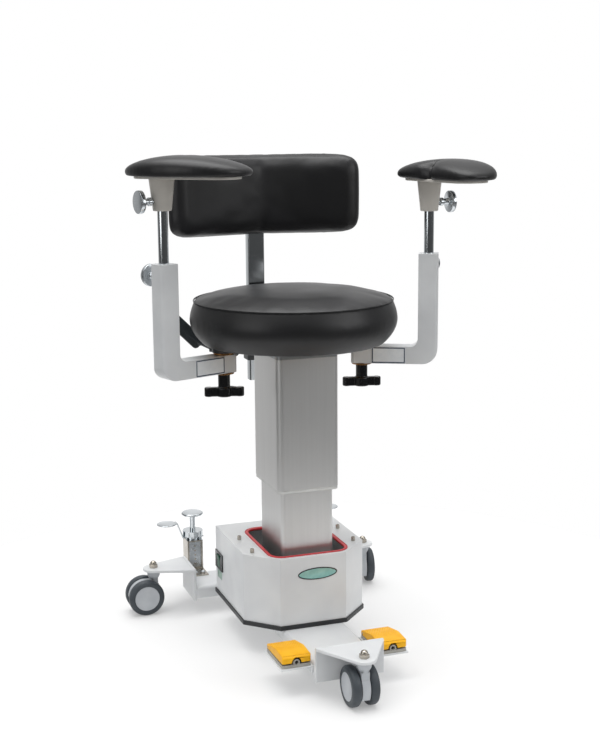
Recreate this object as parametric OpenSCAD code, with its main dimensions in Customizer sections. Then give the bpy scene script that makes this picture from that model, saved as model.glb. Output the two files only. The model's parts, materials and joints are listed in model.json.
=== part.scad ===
// Electric operating stool: a wheeled T-shaped chassis, a lifting column, a
// swivelling round seat, a curved backrest and two swinging padded armrests.
// +Z is up. The origin is on the floor under the middle of the stool's outline,
// and the front of the stool points along -Y.

/* [Chassis] */
// Width of the front beam
beam_w = 126; // [110:1:130]
// Height of the front beam
beam_h = 27; // [22:1:32]
// Height of the beam's underside above the floor
beam_z = 31; // [28:1:34]
// Wall of the steel tubes
tube_wall = 3; // [2:0.5:4]
// Distance from the column's axis forward to the front face of the front end plate
front_reach = 290; // [275:1:300]
// Distance from the column's axis back to the middle of the rear crossbar
rear_reach = 240; // [236:1:246]
// Distance from the column's axis sideways to the outer face of a rear end plate
side_reach = 163; // [158:1:175]
// Depth of the rear crossbar, front to back
crossbar_d = 96; // [88:1:100]
// Thickness of the welded end plates
end_plate_t = 6; // [4:1:8]
// Thickness of the caster plates
caster_plate_t = 6; // [4:1:8]
// Top of the caster plates above the floor
caster_plate_top = 96.5; // [94:0.5:105]
// Distance of the front caster's bolt from its end plate
front_caster_out = 67; // [64:1:76]
// Distance of a rear caster's bolt from its end plate
rear_caster_out = 75; // [70:1:80]
// Radius of the rounded tip of a caster plate
caster_tip_r = 22; // [18:1:28]

/* [Casters] */
// Diameter of the wheels
wheel_d = 75; // [68:1:76]
// Width of one wheel
wheel_w = 17; // [14:1:19]
// Gap between the two wheels of a caster
wheel_gap = 18; // [16:1:20]
// Distance of the axle behind the swivel bolt
caster_trail = 20; // [14:1:22]
// Radius of the hub inside the tyre
hub_r = 26; // [22:1:30]
// Diameter of the axle
axle_d = 8; // [6:0.5:10]
// Diameter of the swivel bolt
caster_bolt_d = 10; // [8:0.5:10]
// Direction in which each caster trails: front, left and right
caster_front_angle = 90; // [0:5:355]
// Direction in which the left caster trails
caster_left_angle = 180; // [0:5:355]
// Direction in which the right caster trails
caster_right_angle = 80; // [0:5:355]

/* [Base cover] */
// Width of the cover
cover_w = 248; // [236:1:260]
// Depth of the cover, front to back
cover_d = 253; // [240:1:262]
// Distance from the column's axis to the cover's front face
cover_front = 98.5; // [94:0.5:104]
// Size of the chamfered front corners
cover_chamfer = 57; // [40:1:64]
// Top of the cover above the floor
cover_top = 201; // [190:1:215]
// Wall of the cover
cover_wall = 2; // [1:0.5:3]
// Thickness of the tray under the cover
tray_t = 4; // [3:1:6]
// Width of the rubber edge strip's stand-off from the cover
strip_t = 2.5; // [1.5:0.5:4]
// Height of the rubber edge strip
strip_h = 9; // [7:1:14]
// Width of the opening in the top of the cover
opening_w = 156; // [150:1:160]
// Depth of the opening in the top of the cover
opening_d = 192; // [186:1:196]
// Distance of the opening's middle behind the column's axis
opening_y = 8.5; // [4:0.5:12]
// Corner radius of the opening
opening_r = 25; // [15:1:30]
// Width of the rubber edging round the opening
edging_w = 7; // [4:1:8]

/* [Column] */
// Width of the fixed inner profile
inner_w = 106; // [100:1:108]
// Depth of the fixed inner profile
inner_d = 134; // [128:1:136]
// Wall of both profiles
profile_wall = 4; // [3:0.5:4.5]
// Corner radius of the inner profile
inner_r = 9; // [6:1:12]
// Width of the sliding outer profile
outer_w = 124; // [122:1:126]
// Depth of the sliding outer profile
outer_d = 154; // [152:1:156]
// Corner radius of the outer profile
outer_r = 12; // [10:1:14]
// Height of the outer profile's lower end above the floor
outer_z = 328; // [322:1:332]
// Length of the outer profile
outer_len = 254; // [250:1:256]
// How far the seat can be lowered
lift_travel = 160; // [120:1:160]
// Radius of the swivel post
post_r = 22; // [18:1:24]
// Diameter of the lifting screw
screw_d = 18; // [14:1:20]

/* [Seat] */
// Diameter of the seat
seat_d = 400; // [380:2:404]
// Thickness of the steel frame between the column head and the seat
frame_h = 11.7; // [10:0.1:16]
// Height of the seat cushion from its lower rim to its crown
seat_h = 103; // [92:1:106]
// Distance of the seat's middle behind the column's axis
seat_y = 7; // [0:0.5:10]
// Distance of an armrest's pivot in from the seat's edge
pivot_in = 58.5; // [54:0.5:60]

/* [Armrests] */
// Distance from an armrest's pivot to its rod
arm_reach = 130; // [126:1:136]
// Width of an armrest beam
arm_w = 36; // [32:1:38]
// Height of the horizontal part of an armrest
arm_h = 34; // [30:1:36]
// Length of the upright part along the beam
arm_post = 38; // [34:1:40]
// Height of an armrest from its underside to the top of the upright
arm_rise = 216; // [200:1:224]
// Angle of the left armrest ahead of straight sideways
arm_left_angle = 20; // [0:1:50]
// Angle of the right armrest ahead of straight sideways
arm_right_angle = 27; // [0:1:50]
// Diameter of the height rods
rod_d = 19; // [16:0.5:20]
// Length of a height rod
rod_len = 215; // [200:1:225]
// Height of the left pad socket above its upright
left_pad_rise = 96; // [70:1:110]
// Height of the right pad socket above its upright
right_pad_rise = 81; // [60:1:110]
// Inward turn of the left pad
left_pad_angle = 46; // [0:1:80]
// Inward turn of the right pad
right_pad_angle = -10; // [-20:1:80]
// Turn of the left pad's knob against its pad
left_knob_angle = 34; // [-40:1:40]
// Turn of the right pad's knob against its pad
right_knob_angle = -10; // [-40:1:40]
// Length of an arm pad
pad_len = 242; // [230:2:260]
// Width of an arm pad
pad_w = 124; // [100:2:124]
// Thickness of an arm pad
pad_t = 32; // [24:1:36]
// Bend of the kidney shape
pad_bend = 20; // [0:1:26]
// Distance of the pad's middle ahead of its rod
pad_ahead = 53; // [40:1:60]
// Distance of the pad's middle outward of its rod
pad_out = 7; // [0:1:20]

/* [Backrest] */
// Width of the backrest bar
bar_w = 35; // [30:1:38]
// Depth of the backrest bar
bar_d = 22; // [18:1:25]
// Wall of the backrest bar
bar_wall = 2; // [1.5:0.5:3]
// How far the bar hangs below the underside of the seat frame
bar_drop = 107.3; // [96:0.1:120]
// Length of the bar
bar_len = 417; // [400:1:430]
// Gap between the seat's edge and the bar
bar_clear = 33; // [30:0.5:38]
// Radius of the backrest's curve at its front face
back_r = 344; // [300:2:400]
// Width of the back cushion along its curve
back_w = 390; // [360:2:400]
// Height of the back cushion
back_h = 164; // [150:1:170]
// Height of the back cushion's lower edge above the underside of the seat frame
back_rise = 200.7; // [196:0.1:210]
// Thickness of the back cushion
back_t = 38; // [30:1:44]
// Thickness of the bent back plate
back_plate_t = 4; // [3:0.5:5]

/* [Foot controls] */
// Width of a foot switch
pedal_w = 55; // [50:1:58]
// Length of a foot switch
pedal_len = 92; // [86:1:96]
// Distance of the foot switches' front ends ahead of the column's axis
pedal_front = 267; // [262:1:270]
// Gap between the beam and a foot switch
pedal_gap = 3.5; // [2:0.5:6]
// Top of the foot switch base above the floor
pedal_base_top = 61.5; // [60:0.5:62]
// Diameter of the cable entry in a foot switch
entry_d = 7; // [5:0.5:8]
// Sideways distance of the floor brakes from the column's axis
brake_x = 130; // [124:1:134]
// Distance of the brakes' middle behind the crossbar
brake_back = 33; // [30:1:36]
// Diameter of a brake's foot disc
brake_disc_d = 47; // [40:1:50]
// Top of the raised brake disc above the floor
brake_top = 183; // [180:1:190]
// How far a floor brake's foot disc goes down
brake_travel = 15; // [10:1:15]

/* [Hidden] */
// Smoothness of round parts
$fn = 64;
// Overrun of every cut past the face that it opens
cut = 1;
// Radial clearance of pins and shafts that turn or slide in a bore
fit = 0.05;
// Gap between pieces that move past each other
gap = 0.3;
// Distance that centres the stool's outline over the origin
shift_x = -8.77;
shift_y = 17.25;

// Chassis
beam_top = beam_z + beam_h;
beam_r = 7;
end_plate_proud = 3;
end_plate_low = 3;
front_plate_half = beam_w / 2 + end_plate_proud;
rear_plate_half = crossbar_d / 2;
caster_under = caster_plate_top - caster_plate_t;
front_caster_y = -(front_reach + front_caster_out);
rear_caster_x = side_reach + rear_caster_out;
crossbar_front = rear_reach - crossbar_d / 2;

// Casters: place and trailing direction of each
wheel_r = wheel_d / 2;
fork_side_gap = 1;
fork_t = wheel_gap - 2 * fork_side_gap;
fork_head_r = 13;
fork_head_h = 10;
fork_cone_h = 10;
fender_r = 34;
fender_low = 16;
hub_cap_t = 3;
hub_recess = 0.8;
hub_rim = 1.5;
axle_len = wheel_gap + 2 * (wheel_w - hub_cap_t);
bolt_depth = 25;
nut_r = 9.5;
nut_h = 7;
dome_r = 7.5;
tread_r = 6;

// Base cover
tray_z = beam_top;
cover_z = tray_z + tray_t;
cover_h = cover_top - cover_z;
// Growth of a chamfer's legs where the plan grows outward
chamfer_share = 2 - sqrt(2);
edging_lap = 1.5;
edging_h = 6;
screw_head_r = 4;
screw_head_h = 8;
screw_socket_r = 2.3;
screw_socket_depth = 4;
screw_shank_r = 3;
screw_len = 12;
screw_x = 105;
screw_front = -39;
screw_back = 47;

// Power switch on the left side of the cover
switch_y = 127;
switch_z = 134;
switch_w = 50;
switch_h = 36;
bezel_t = 2.5;
switch_depth = 24;
switch_lip = 3;
rocker_w = 18;
rocker_h = 26;
rocker_t = 7;
rocker_pin_r = 1.5;
rocker_clear = 0.7;
rocker_angle = 5;

// Column
overlap = 85;
inner_z = cover_z;
inner_top = outer_z + overlap;
outer_top = outer_z + outer_len;
lip_h = 6;
lip_up = 24;
lip_in = 0.6;
head_t = 8;
head_top = outer_top + head_t;
post_h = 10;
drive_w = 78;
drive_d = 100;
drive_clear = 24;
drive_r = 8;
screw_tip = 13;
nut_tube_wall = 3.5;
nut_play = 1.5;
nut_drop = 4;
nut_len = 22;
drive_h = outer_z + nut_drop - lift_travel - inner_z - drive_clear;

// Seat
frame_z = head_top + gap;
seat_z = frame_z + frame_h;
frame_d = 44;
hub_plate_w = 140;
rim_inset = 28;
rim_w = 7;
rim_r = seat_d / 2 - rim_inset;
board_r = rim_r - rim_w;
board_t = 16;
seam_inset = 10;
seam_rise = 82;
seam_depth = 2.5;
bulge_rise = 48;
seat_r = seat_d / 2;
pivot_x = seat_r - pivot_in;
welt_r = 2.2;
welt_steps = 6;
side_steps = 16;
crown_steps = 12;
crown_power = 0.8;
hub_plate_d = 110;
hub_plate_corner = 12;

// Armrest pivots
stud_r = 8;
washer_r = 19.5;
washer_t = 3;
upper_washer_t = 4;
over_washer_z = frame_z - upper_washer_t;
arm_z = over_washer_z - gap - arm_h;
under_washer_z = arm_z - gap - washer_t;
stud_drop = 34;
t_stem_r = 11.5;
t_stem_h = 26;
t_bar_h = 18;
t_bar_half = 38;
t_bar_w = 17;
t_hub_r = 15;
t_bar_neck = 12;
t_knob_angle = 15;

// Armrests
arm_end = 20;
arm_len = arm_reach + arm_post / 2;
arm_outer_r = 30;
arm_inner_r = 15;
arm_edge_r = 7;
arm_top = arm_z + arm_rise;
rod_bore_depth = 168;
knob_drop = 24;
knob_r = 21;
knob_t = 9;
knob_rim_r = 2.5;
knob_neck_r = 8;
knob_neck = 20;
knob_stud_r = 4;
socket_h = 58;
socket_top_r = 23.5;
socket_foot_r = 17;
socket_bore = 50;
socket_knob_rise = 17;
plate_t = 5;
plate_len = 206;
plate_w = 76;
plate_corner = 34;
pad_points = 40;
pad_square = 2.5;
pad_bend_share = 0.35;
// Shares of the pad's outline and thickness at each ring, from the edge of its underside to its crown
pad_ring_shares = [[0.93, 0], [0.98, 0.06], [1, 0.2], [1, 0.42], [0.985, 0.55], [0.975, 0.58],
    [0.95, 0.66], [0.87, 0.79], [0.72, 0.9], [0.5, 0.965], [0.25, 0.993]];

// Backrest
bar_y = seat_y + seat_r + bar_clear;
bar_z = frame_z - bar_drop;
back_z = frame_z + back_rise;
back_y = bar_y - back_plate_t - back_t;
back_axis_y = back_y - back_r;
back_points = 48;
back_square = 7;
// Shares of the cushion's outline and depth at each ring, from the edge of its back to its front crown
back_ring_shares = [[0.93, 1], [0.975, 0.96], [1, 0.82], [1, 0.5], [0.99, 0.3], [0.965, 0.14],
    [0.92, 0.05], [0.84, 0], [0.7, -0.05], [0.5, -0.09], [0.25, -0.12]];
back_plate_w = 250;
back_plate_h = 110;
sleeve_wall = 6;
sleeve_drop = 63.3;
sleeve_z = frame_z - sleeve_drop;
arm_bar_w = 60;
arm_bar_t = 10;
gusset_t = 6;
gusset_out = 60;
bar_r = 3;
gusset_drop = 40;
back_knob_drop = 30.3;
back_knob_z = frame_z - back_knob_drop;

// Lever under the left rear of the seat
lever_r = 4;
lever_sleeve_r = 5.5;
lever_lap_share = 0.8;
// Places of the lever's hinge, bend and end as shares of the seat's radius
lever_hub_shares = [-0.5, 0.31];
lever_bend_shares = [-0.735, 0.435];
lever_end_shares = [-0.84, 0.53];
lever_hub = seat_r * lever_hub_shares;
lever_bend = seat_r * lever_bend_shares;
lever_end = seat_r * lever_end_shares;
lever_hub_drop = 10.3;
lever_bend_drop = 7.3;
lever_end_rise = 6.7;
lever_hub_z = frame_z - lever_hub_drop;
lever_bend_z = frame_z - lever_bend_drop;
lever_end_z = frame_z + lever_end_rise;
lug_w = 16;
lug_t = 6;
lug_pin_r = 3;
paddle_len = 78;
paddle_w = 27;
paddle_t = 10;
paddle_corner = 8;
paddle_lap = 10;
paddle_angle = 45;

// Foot switches
pedal_x = beam_w / 2 + pedal_gap + pedal_w / 2;
pedal_mid_y = -(pedal_front - pedal_len / 2);
pedal_plate_t = 3;
plate_lip = 2.5;
plate_flange_h = 14;
pedal_base_h = 6;
pedal_plate_z = pedal_base_top - pedal_base_h - pedal_plate_t;
pedal_wall = 2.5;
pedal_rear_lift = 0.5;
pedal_front_lift = 2.6;
// Heights of the pedal's top above its base: front edge, ridge and back edge
pedal_front_h = 17;
pedal_ridge_h = 19;
pedal_back_h = 9.5;
pedal_ridge_share = 0.42;
pedal_edge = 4;
pedal_pin_r = 2;
pedal_pin_in = 8;
pedal_pin_up = 4.5;
pedal_post = 6;
switch_block = [34, 36, 9];
entry_boss_r = 6.3;
entry_up = 3.5;
entry_depth = 12;
entry_boss_len = 16;
entry_arch = 2.5;

// Floor brakes
brake_y = rear_reach + crossbar_d / 2 + brake_back;
brake_w = 34;
brake_d = 40;
brake_low = 34;
brake_high = 124;
brake_open_w = 26;
brake_open_d = 3.5;
brake_screw_r = 2.2;
brake_screw_h = 1.5;
brake_screws = 5;
brake_screw_step = 10;
brake_foot_t = 3;
brake_foot_out = 45;
brake_foot_bolt_x = 8;
brake_foot_bolt_in = 14;
brake_bolt_r = 5;
neck_r = 14;
neck_h = 7;
slot_w = 18;
collar_r = 22;
collar_h = 12;
stem_r = 6;
disc_t = 5;
disc_rim_r = 2;
shoe_r = 15;
shoe_h = 12;
shoe_clear = 1;
shoe_z = brake_travel + shoe_clear;
neck_z = brake_high;
release_w = 17;
release_t = 2.5;
release_rim = 1;
release_hole_r = 6.6;
release_x = 14;
release_gap = 1;
release_tail = 8;
release_eye_r = 2.8;
release_pin_r = 1.2;
release_z = neck_z + neck_h - release_gap - release_eye_r;
release_ear = 3;
release_reach = 24;
release_rise = 33;
release_bend = 12;
release_disc_r = 21;
release_disc_out = 22;

// Helpers

// Puts the stool's outline over the origin
module stool() {
    translate([shift_x, shift_y, 0])
        children();
}

// Rectangle with round corners, centred
module rounded_2d(size, r) {
    square([size.x - 2 * r, size.y], center = true);
    square([size.x, size.y - 2 * r], center = true);
    for (sx = [-1, 1], sy = [-1, 1])
        translate([sx * (size.x / 2 - r), sy * (size.y / 2 - r)])
            circle(r = r);
}

// Rectangular tube standing on the plane
module rounded_tube(size, r, wall, h) {
    linear_extrude(h)
        difference() {
            rounded_2d(size, r);
            rounded_2d([size.x - 2 * wall, size.y - 2 * wall], max(r - wall, wall / 2));
        }
}

// Turns a profile's X and Y into Y and Z and extrudes it along X, centred
module along_x(len) {
    translate([-len / 2, 0, 0])
        rotate([90, 0, 90])
            linear_extrude(len)
                children();
}

// Turns a profile's X and Y into X and Z and extrudes it along Y, centred
module along_y(len) {
    translate([0, len / 2, 0])
        rotate([90, 0, 0])
            linear_extrude(len)
                children();
}

// Round bar from one point to another
module round_bar(p, q, r) {
    v = q - p;
    translate(p)
        rotate([0, acos(v.z / norm(v)), atan2(v.y, v.x)])
            cylinder(r = r, h = norm(v));
}

// Disc with a rounded rim standing on the plane
module rimmed_disc(r, t, rim) {
    rotate_extrude() {
        square([r - rim, t]);
        translate([0, rim])
            square([r, t - 2 * rim]);
        for (z = [rim, t - rim])
            translate([r - rim, z])
                circle(r = rim, $fn = 24);
    }
}

// Clamping knob along +Y: stud through the wall, neck and round head
module round_knob(start, face) {
    rotate([-90, 0, 0]) {
        translate([0, 0, start])
            cylinder(r = knob_stud_r, h = face - start + gap);
        translate([0, 0, face + gap])
            cylinder(r = knob_neck_r, h = knob_neck);
        translate([0, 0, face + gap + knob_neck])
            rimmed_disc(knob_r, knob_t, knob_rim_r);
    }
}

// Point on a superellipse at angle a
function squircle(a, w, d, n) = [
    w / 2 * sign(cos(a)) * pow(abs(cos(a)), 2 / n),
    d / 2 * sign(sin(a)) * pow(abs(sin(a)), 2 / n)];

// Faces of a closed form made of rings of n points, a first and a last centre point
function ring_faces(n, rings) = concat(
    [for (i = [0 : n - 1]) [0, 1 + i, 1 + (i + 1) % n]],
    [for (k = [0 : rings - 2], i = [0 : n - 1])
        each [[1 + k * n + i, 1 + (k + 1) * n + i, 1 + (k + 1) * n + (i + 1) % n],
            [1 + k * n + i, 1 + (k + 1) * n + (i + 1) % n, 1 + k * n + (i + 1) % n]]],
    [for (i = [0 : n - 1])
        [1 + (rings - 1) * n + i, 1 + rings * n, 1 + (rings - 1) * n + (i + 1) % n]]);

// Chassis

module front_beam() {
    color("white")
        stool()
            translate([0, (crossbar_front - front_reach + end_plate_t) / 2, beam_z + beam_h / 2])
                along_y(crossbar_front + front_reach - end_plate_t)
                    difference() {
                        rounded_2d([beam_w, beam_h], beam_r);
                        rounded_2d([beam_w - 2 * tube_wall, beam_h - 2 * tube_wall], beam_r - tube_wall);
                    }
}

module rear_crossbar() {
    color("white")
        stool()
            translate([0, rear_reach, beam_z + beam_h / 2])
                along_x(2 * (side_reach - end_plate_t))
                    difference() {
                        rounded_2d([crossbar_d, beam_h], beam_r);
                        rounded_2d([crossbar_d - 2 * tube_wall, beam_h - 2 * tube_wall], beam_r - tube_wall);
                    }
}

module end_plates() {
    plate_h = caster_plate_top - beam_z;
    rear_h = plate_h + end_plate_low;
    rear_mid = beam_z - end_plate_low + rear_h / 2;
    color("white")
        stool() {
            translate([-front_plate_half, -front_reach, beam_z])
                cube([2 * front_plate_half, end_plate_t, plate_h]);
            for (side = [-1, 1])
                translate([side * (side_reach - end_plate_t / 2), rear_reach, rear_mid])
                    cube([end_plate_t, 2 * rear_plate_half, rear_h], center = true);
        }
}

// Triangular plate with a round tip, base along Y, pointing to +X
module tip_plate(half, out) {
    reach = norm([out, half]);
    lean = atan2(half, out) - asin(caster_tip_r / reach);
    side = sqrt(reach * reach - caster_tip_r * caster_tip_r);
    far = [side * cos(lean), half - side * sin(lean)];
    difference() {
        linear_extrude(caster_plate_t) {
            polygon([[0, -half], [far.x, -far.y], far, [0, half]]);
            translate([out, 0])
                circle(r = caster_tip_r);
        }
        translate([out, 0, -cut])
            cylinder(r = caster_bolt_d / 2 + fit, h = caster_plate_t + 2 * cut);
    }
}

module caster_plates() {
    color("white")
        stool() {
            translate([0, -front_reach, caster_under])
                rotate(-90)
                    tip_plate(front_plate_half, front_caster_out);
            for (turn = [0, 180])
                translate([side_reach * cos(turn), rear_reach, caster_under])
                    rotate(turn)
                        tip_plate(rear_plate_half, rear_caster_out);
        }
}

// Casters

// Puts its children at a caster: 0 front, 1 left, 2 right, with the trail along +X
module at_caster(i) {
    places = [[0, front_caster_y], [-rear_caster_x, rear_reach], [rear_caster_x, rear_reach]];
    turns = [caster_front_angle, caster_left_angle, caster_right_angle];
    stool()
        translate([places[i].x, places[i].y, 0])
            rotate(turns[i])
                children();
}

module caster_bolts() {
    color("silver")
        for (i = [0 : 2])
            at_caster(i) {
                translate([0, 0, caster_under - bolt_depth])
                    cylinder(r = caster_bolt_d / 2, h = bolt_depth + caster_plate_t + nut_h);
                translate([0, 0, caster_plate_top])
                    cylinder(r = nut_r, h = nut_h, $fn = 6);
                translate([0, 0, caster_plate_top + nut_h])
                    intersection() {
                        sphere(r = dome_r);
                        translate([0, 0, dome_r])
                            cube(2 * dome_r, center = true);
                    }
            }
}

// Swivel boss, fender plate between the wheels and axle
module caster_fork() {
    top = caster_under - gap;
    difference() {
        union() {
            translate([0, 0, top - fork_head_h])
                cylinder(r = fork_head_r, h = fork_head_h);
            translate([0, 0, top - fork_head_h - fork_cone_h])
                cylinder(r1 = fork_t / 2, r2 = fork_head_r, h = fork_cone_h);
            along_y(fork_t) {
                intersection() {
                    translate([caster_trail, wheel_r])
                        circle(r = fender_r);
                    polygon([[caster_trail - wheel_r, fender_low], [caster_trail + wheel_r, wheel_r],
                        [caster_trail + wheel_r, wheel_d], [caster_trail - wheel_r, wheel_d]]);
                }
                translate([-fork_t / 2, wheel_r])
                    square([caster_trail + fork_t / 2, fender_r]);
            }
            translate([caster_trail, 0, wheel_r])
                rotate([90, 0, 0])
                    cylinder(r = axle_d / 2, h = axle_len, center = true);
        }
        translate([0, 0, caster_under - bolt_depth - gap])
            cylinder(r = caster_bolt_d / 2 + fit, h = bolt_depth + cut);
    }
}

// One hub on +Y: web, rim, closed cap and blind axle bore
module caster_hub() {
    translate([caster_trail, wheel_gap / 2, wheel_r])
        rotate([-90, 0, 0])
            difference() {
                cylinder(r = hub_r, h = wheel_w);
                translate([0, 0, wheel_w - hub_recess])
                    cylinder(r = hub_r - hub_rim, h = wheel_w);
                translate([0, 0, -cut])
                    cylinder(r = axle_d / 2 + fit, h = wheel_w - hub_cap_t + gap + cut);
            }
}

module caster_hubs() {
    for (side = [0, 1])
        mirror([0, side, 0])
            caster_hub();
}

module caster_tyres() {
    for (side = [-1, 1])
        translate([caster_trail, side * (wheel_gap + wheel_w) / 2, wheel_r])
            rotate([90, 0, 0])
                rotate_extrude()
                    intersection() {
                        translate([wheel_r - wheel_w, 0])
                            rounded_2d([2 * wheel_w, wheel_w], tread_r);
                        translate([hub_r, -wheel_w])
                            square([wheel_r, 2 * wheel_w]);
                    }
}

module fork_front() {
    color("lightgray")
        at_caster(0)
            caster_fork();
}

module fork_left() {
    color("lightgray")
        at_caster(1)
            caster_fork();
}

module fork_right() {
    color("lightgray")
        at_caster(2)
            caster_fork();
}

module hubs_front() {
    color("gainsboro")
        at_caster(0)
            caster_hubs();
}

module hubs_left() {
    color("gainsboro")
        at_caster(1)
            caster_hubs();
}

module hubs_right() {
    color("gainsboro")
        at_caster(2)
            caster_hubs();
}

module tyres_front() {
    color("darkslategray")
        at_caster(0)
            caster_tyres();
}

module tyres_left() {
    color("darkslategray")
        at_caster(1)
            caster_tyres();
}

module tyres_right() {
    color("darkslategray")
        at_caster(2)
            caster_tyres();
}

// Base cover

// Plan of the cover grown outward by g: square back corners, chamfered front corners
module cover_2d(g) {
    x = cover_w / 2 + g;
    front = -cover_front - g;
    back = cover_d - cover_front + g;
    c = cover_chamfer + chamfer_share * g;
    polygon([[-x, back], [-x, front + c], [c - x, front], [x - c, front], [x, front + c], [x, back]]);
}

// Plan of the opening grown outward by g
module opening_2d(g) {
    translate([0, opening_y])
        rounded_2d([opening_w + 2 * g, opening_d + 2 * g], opening_r + g);
}

module at_cover_screws() {
    for (side = [-1, 1], y = [screw_front, screw_back])
        translate([side * screw_x, y, cover_top])
            children();
}

module base_tray() {
    color("white")
        stool()
            translate([0, 0, tray_z])
                linear_extrude(tray_t)
                    cover_2d(0);
}

module base_cover() {
    color("white")
        stool()
            difference() {
                translate([0, 0, cover_z])
                    linear_extrude(cover_h)
                        cover_2d(0);
                translate([0, 0, cover_z - cut])
                    linear_extrude(cover_h - cover_wall + cut)
                        cover_2d(-cover_wall);
                translate([0, 0, cover_top - cover_wall - cut])
                    linear_extrude(cover_wall + 2 * cut)
                        opening_2d(0);
                translate([-cover_w / 2, switch_y, switch_z])
                    cube([2 * cover_wall + 2 * cut, switch_w - 2 * switch_lip, switch_h - 2 * switch_lip],
                        center = true);
                at_cover_screws()
                    translate([0, 0, -cover_wall - cut])
                        cylinder(r = screw_shank_r, h = cover_wall + 2 * cut);
            }
}

module edge_strip() {
    color("dimgray")
        stool()
            translate([0, 0, tray_z])
                linear_extrude(strip_h)
                    difference() {
                        cover_2d(strip_t);
                        cover_2d(0);
                    }
}

module opening_edging() {
    low = cover_top - cover_wall - edging_lap;
    inner = edging_w - edging_h / 2;
    color("firebrick")
        stool()
            difference() {
                translate([0, 0, low])
                    linear_extrude(cover_wall + 2 * edging_lap)
                        opening_2d(inner);
                translate([0, 0, low - cut])
                    linear_extrude(cover_wall + 2 * edging_lap + 2 * cut)
                        opening_2d(inner - edging_w);
                translate([0, 0, cover_top - cover_wall])
                    linear_extrude(cover_wall)
                        difference() {
                            opening_2d(edging_w);
                            opening_2d(0);
                        }
            }
}

module cover_screws() {
    color("silver")
        stool()
            at_cover_screws()
                difference() {
                    union() {
                        translate([0, 0, -screw_len])
                            cylinder(r = screw_shank_r, h = screw_len);
                        cylinder(r = screw_head_r, h = screw_head_h);
                    }
                    translate([0, 0, screw_head_h - screw_socket_depth])
                        cylinder(r = screw_socket_r, h = screw_socket_depth + cut, $fn = 6);
                }
}

// Power switch

// Puts its children on the cover's left wall, +X outward from the wall's outer face
module at_switch() {
    stool()
        translate([-cover_w / 2, switch_y, switch_z])
            mirror([1, 0, 0])
                children();
}

module switch_bezel() {
    body = [switch_depth, switch_w - 2 * switch_lip, switch_h - 2 * switch_lip];
    color("black")
        at_switch()
            difference() {
                union() {
                    translate([bezel_t / 2, 0, 0])
                        cube([bezel_t, switch_w, switch_h], center = true);
                    translate([-switch_depth / 2, 0, 0])
                        cube(body, center = true);
                }
                translate([bezel_t - rocker_t, 0, 0])
                    cube([2 * rocker_t, rocker_w + 2 * rocker_clear, rocker_h + 2 * rocker_clear],
                        center = true);
            }
        at_switch()
            translate([bezel_t - rocker_t / 2, 0, 0])
                rotate([90, 0, 0])
                    cylinder(r = rocker_pin_r, h = rocker_w + 2 * (rocker_clear + cut), center = true);
}

module power_rocker() {
    rise = bezel_t / 2;
    half = rocker_t / 2;
    low = -rocker_h / 2;
    color("limegreen")
        at_switch()
            translate([bezel_t - rocker_t / 2, 0, 0])
                rotate([0, rocker_angle, 0])
                    difference() {
                        along_y(rocker_w)
                            polygon([[-half, low / 2], [half, low], [half + rise, low],
                                [half, 0], [half + rise, rocker_h / 2], [half, rocker_h / 2],
                                [-half, rocker_h / 4]]);
                        rotate([90, 0, 0])
                            cylinder(r = rocker_pin_r + fit, h = rocker_w + 2 * cut, center = true);
                    }
}

// Column

module inner_column() {
    color("silver")
        stool()
            translate([0, 0, inner_z])
                rounded_tube([inner_w, inner_d], inner_r, profile_wall, inner_top - inner_z);
}

module lift_drive() {
    color("gray")
        stool()
            translate([0, 0, inner_z]) {
                linear_extrude(drive_h)
                    rounded_2d([drive_w, drive_d], drive_r);
                cylinder(r = screw_d / 2, h = inner_top - inner_z - screw_tip);
            }
}

module outer_column() {
    color("silver")
        stool()
            translate([0, 0, outer_z])
                rounded_tube([outer_w, outer_d], outer_r, profile_wall, outer_len);
}

// Plastic glide closing the gap between the two profiles
module column_lip() {
    bore = [inner_w + 2 * gap, inner_d + 2 * gap];
    color("lightgray")
        stool() {
            translate([0, 0, outer_z - lip_h])
                linear_extrude(lip_h)
                    difference() {
                        rounded_2d([outer_w - 2 * lip_in, outer_d - 2 * lip_in], outer_r - lip_in);
                        rounded_2d(bore, inner_r + gap);
                    }
            translate([0, 0, outer_z])
                linear_extrude(lip_up)
                    difference() {
                        rounded_2d([outer_w - 2 * profile_wall, outer_d - 2 * profile_wall],
                            outer_r - profile_wall);
                        rounded_2d(bore, inner_r + gap);
                    }
        }
}

module column_head() {
    nut_tube_z = outer_z + nut_drop;
    nut_tube_bore = screw_d / 2 + nut_play;
    color("gray")
        stool()
            difference() {
                union() {
                    translate([0, 0, outer_top])
                        linear_extrude(head_t)
                            rounded_2d([outer_w, outer_d], outer_r);
                    translate([0, seat_y, head_top])
                        cylinder(r = post_r, h = post_h);
                    translate([0, 0, nut_tube_z])
                        cylinder(r = nut_tube_bore + nut_tube_wall, h = outer_top - nut_tube_z);
                }
                translate([0, 0, nut_tube_z - cut])
                    cylinder(r = screw_d / 2 + fit, h = nut_len + 2 * cut);
                translate([0, 0, nut_tube_z + nut_len])
                    cylinder(r = nut_tube_bore, h = outer_top - nut_tube_z - nut_len);
            }
}

// Seat

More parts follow.
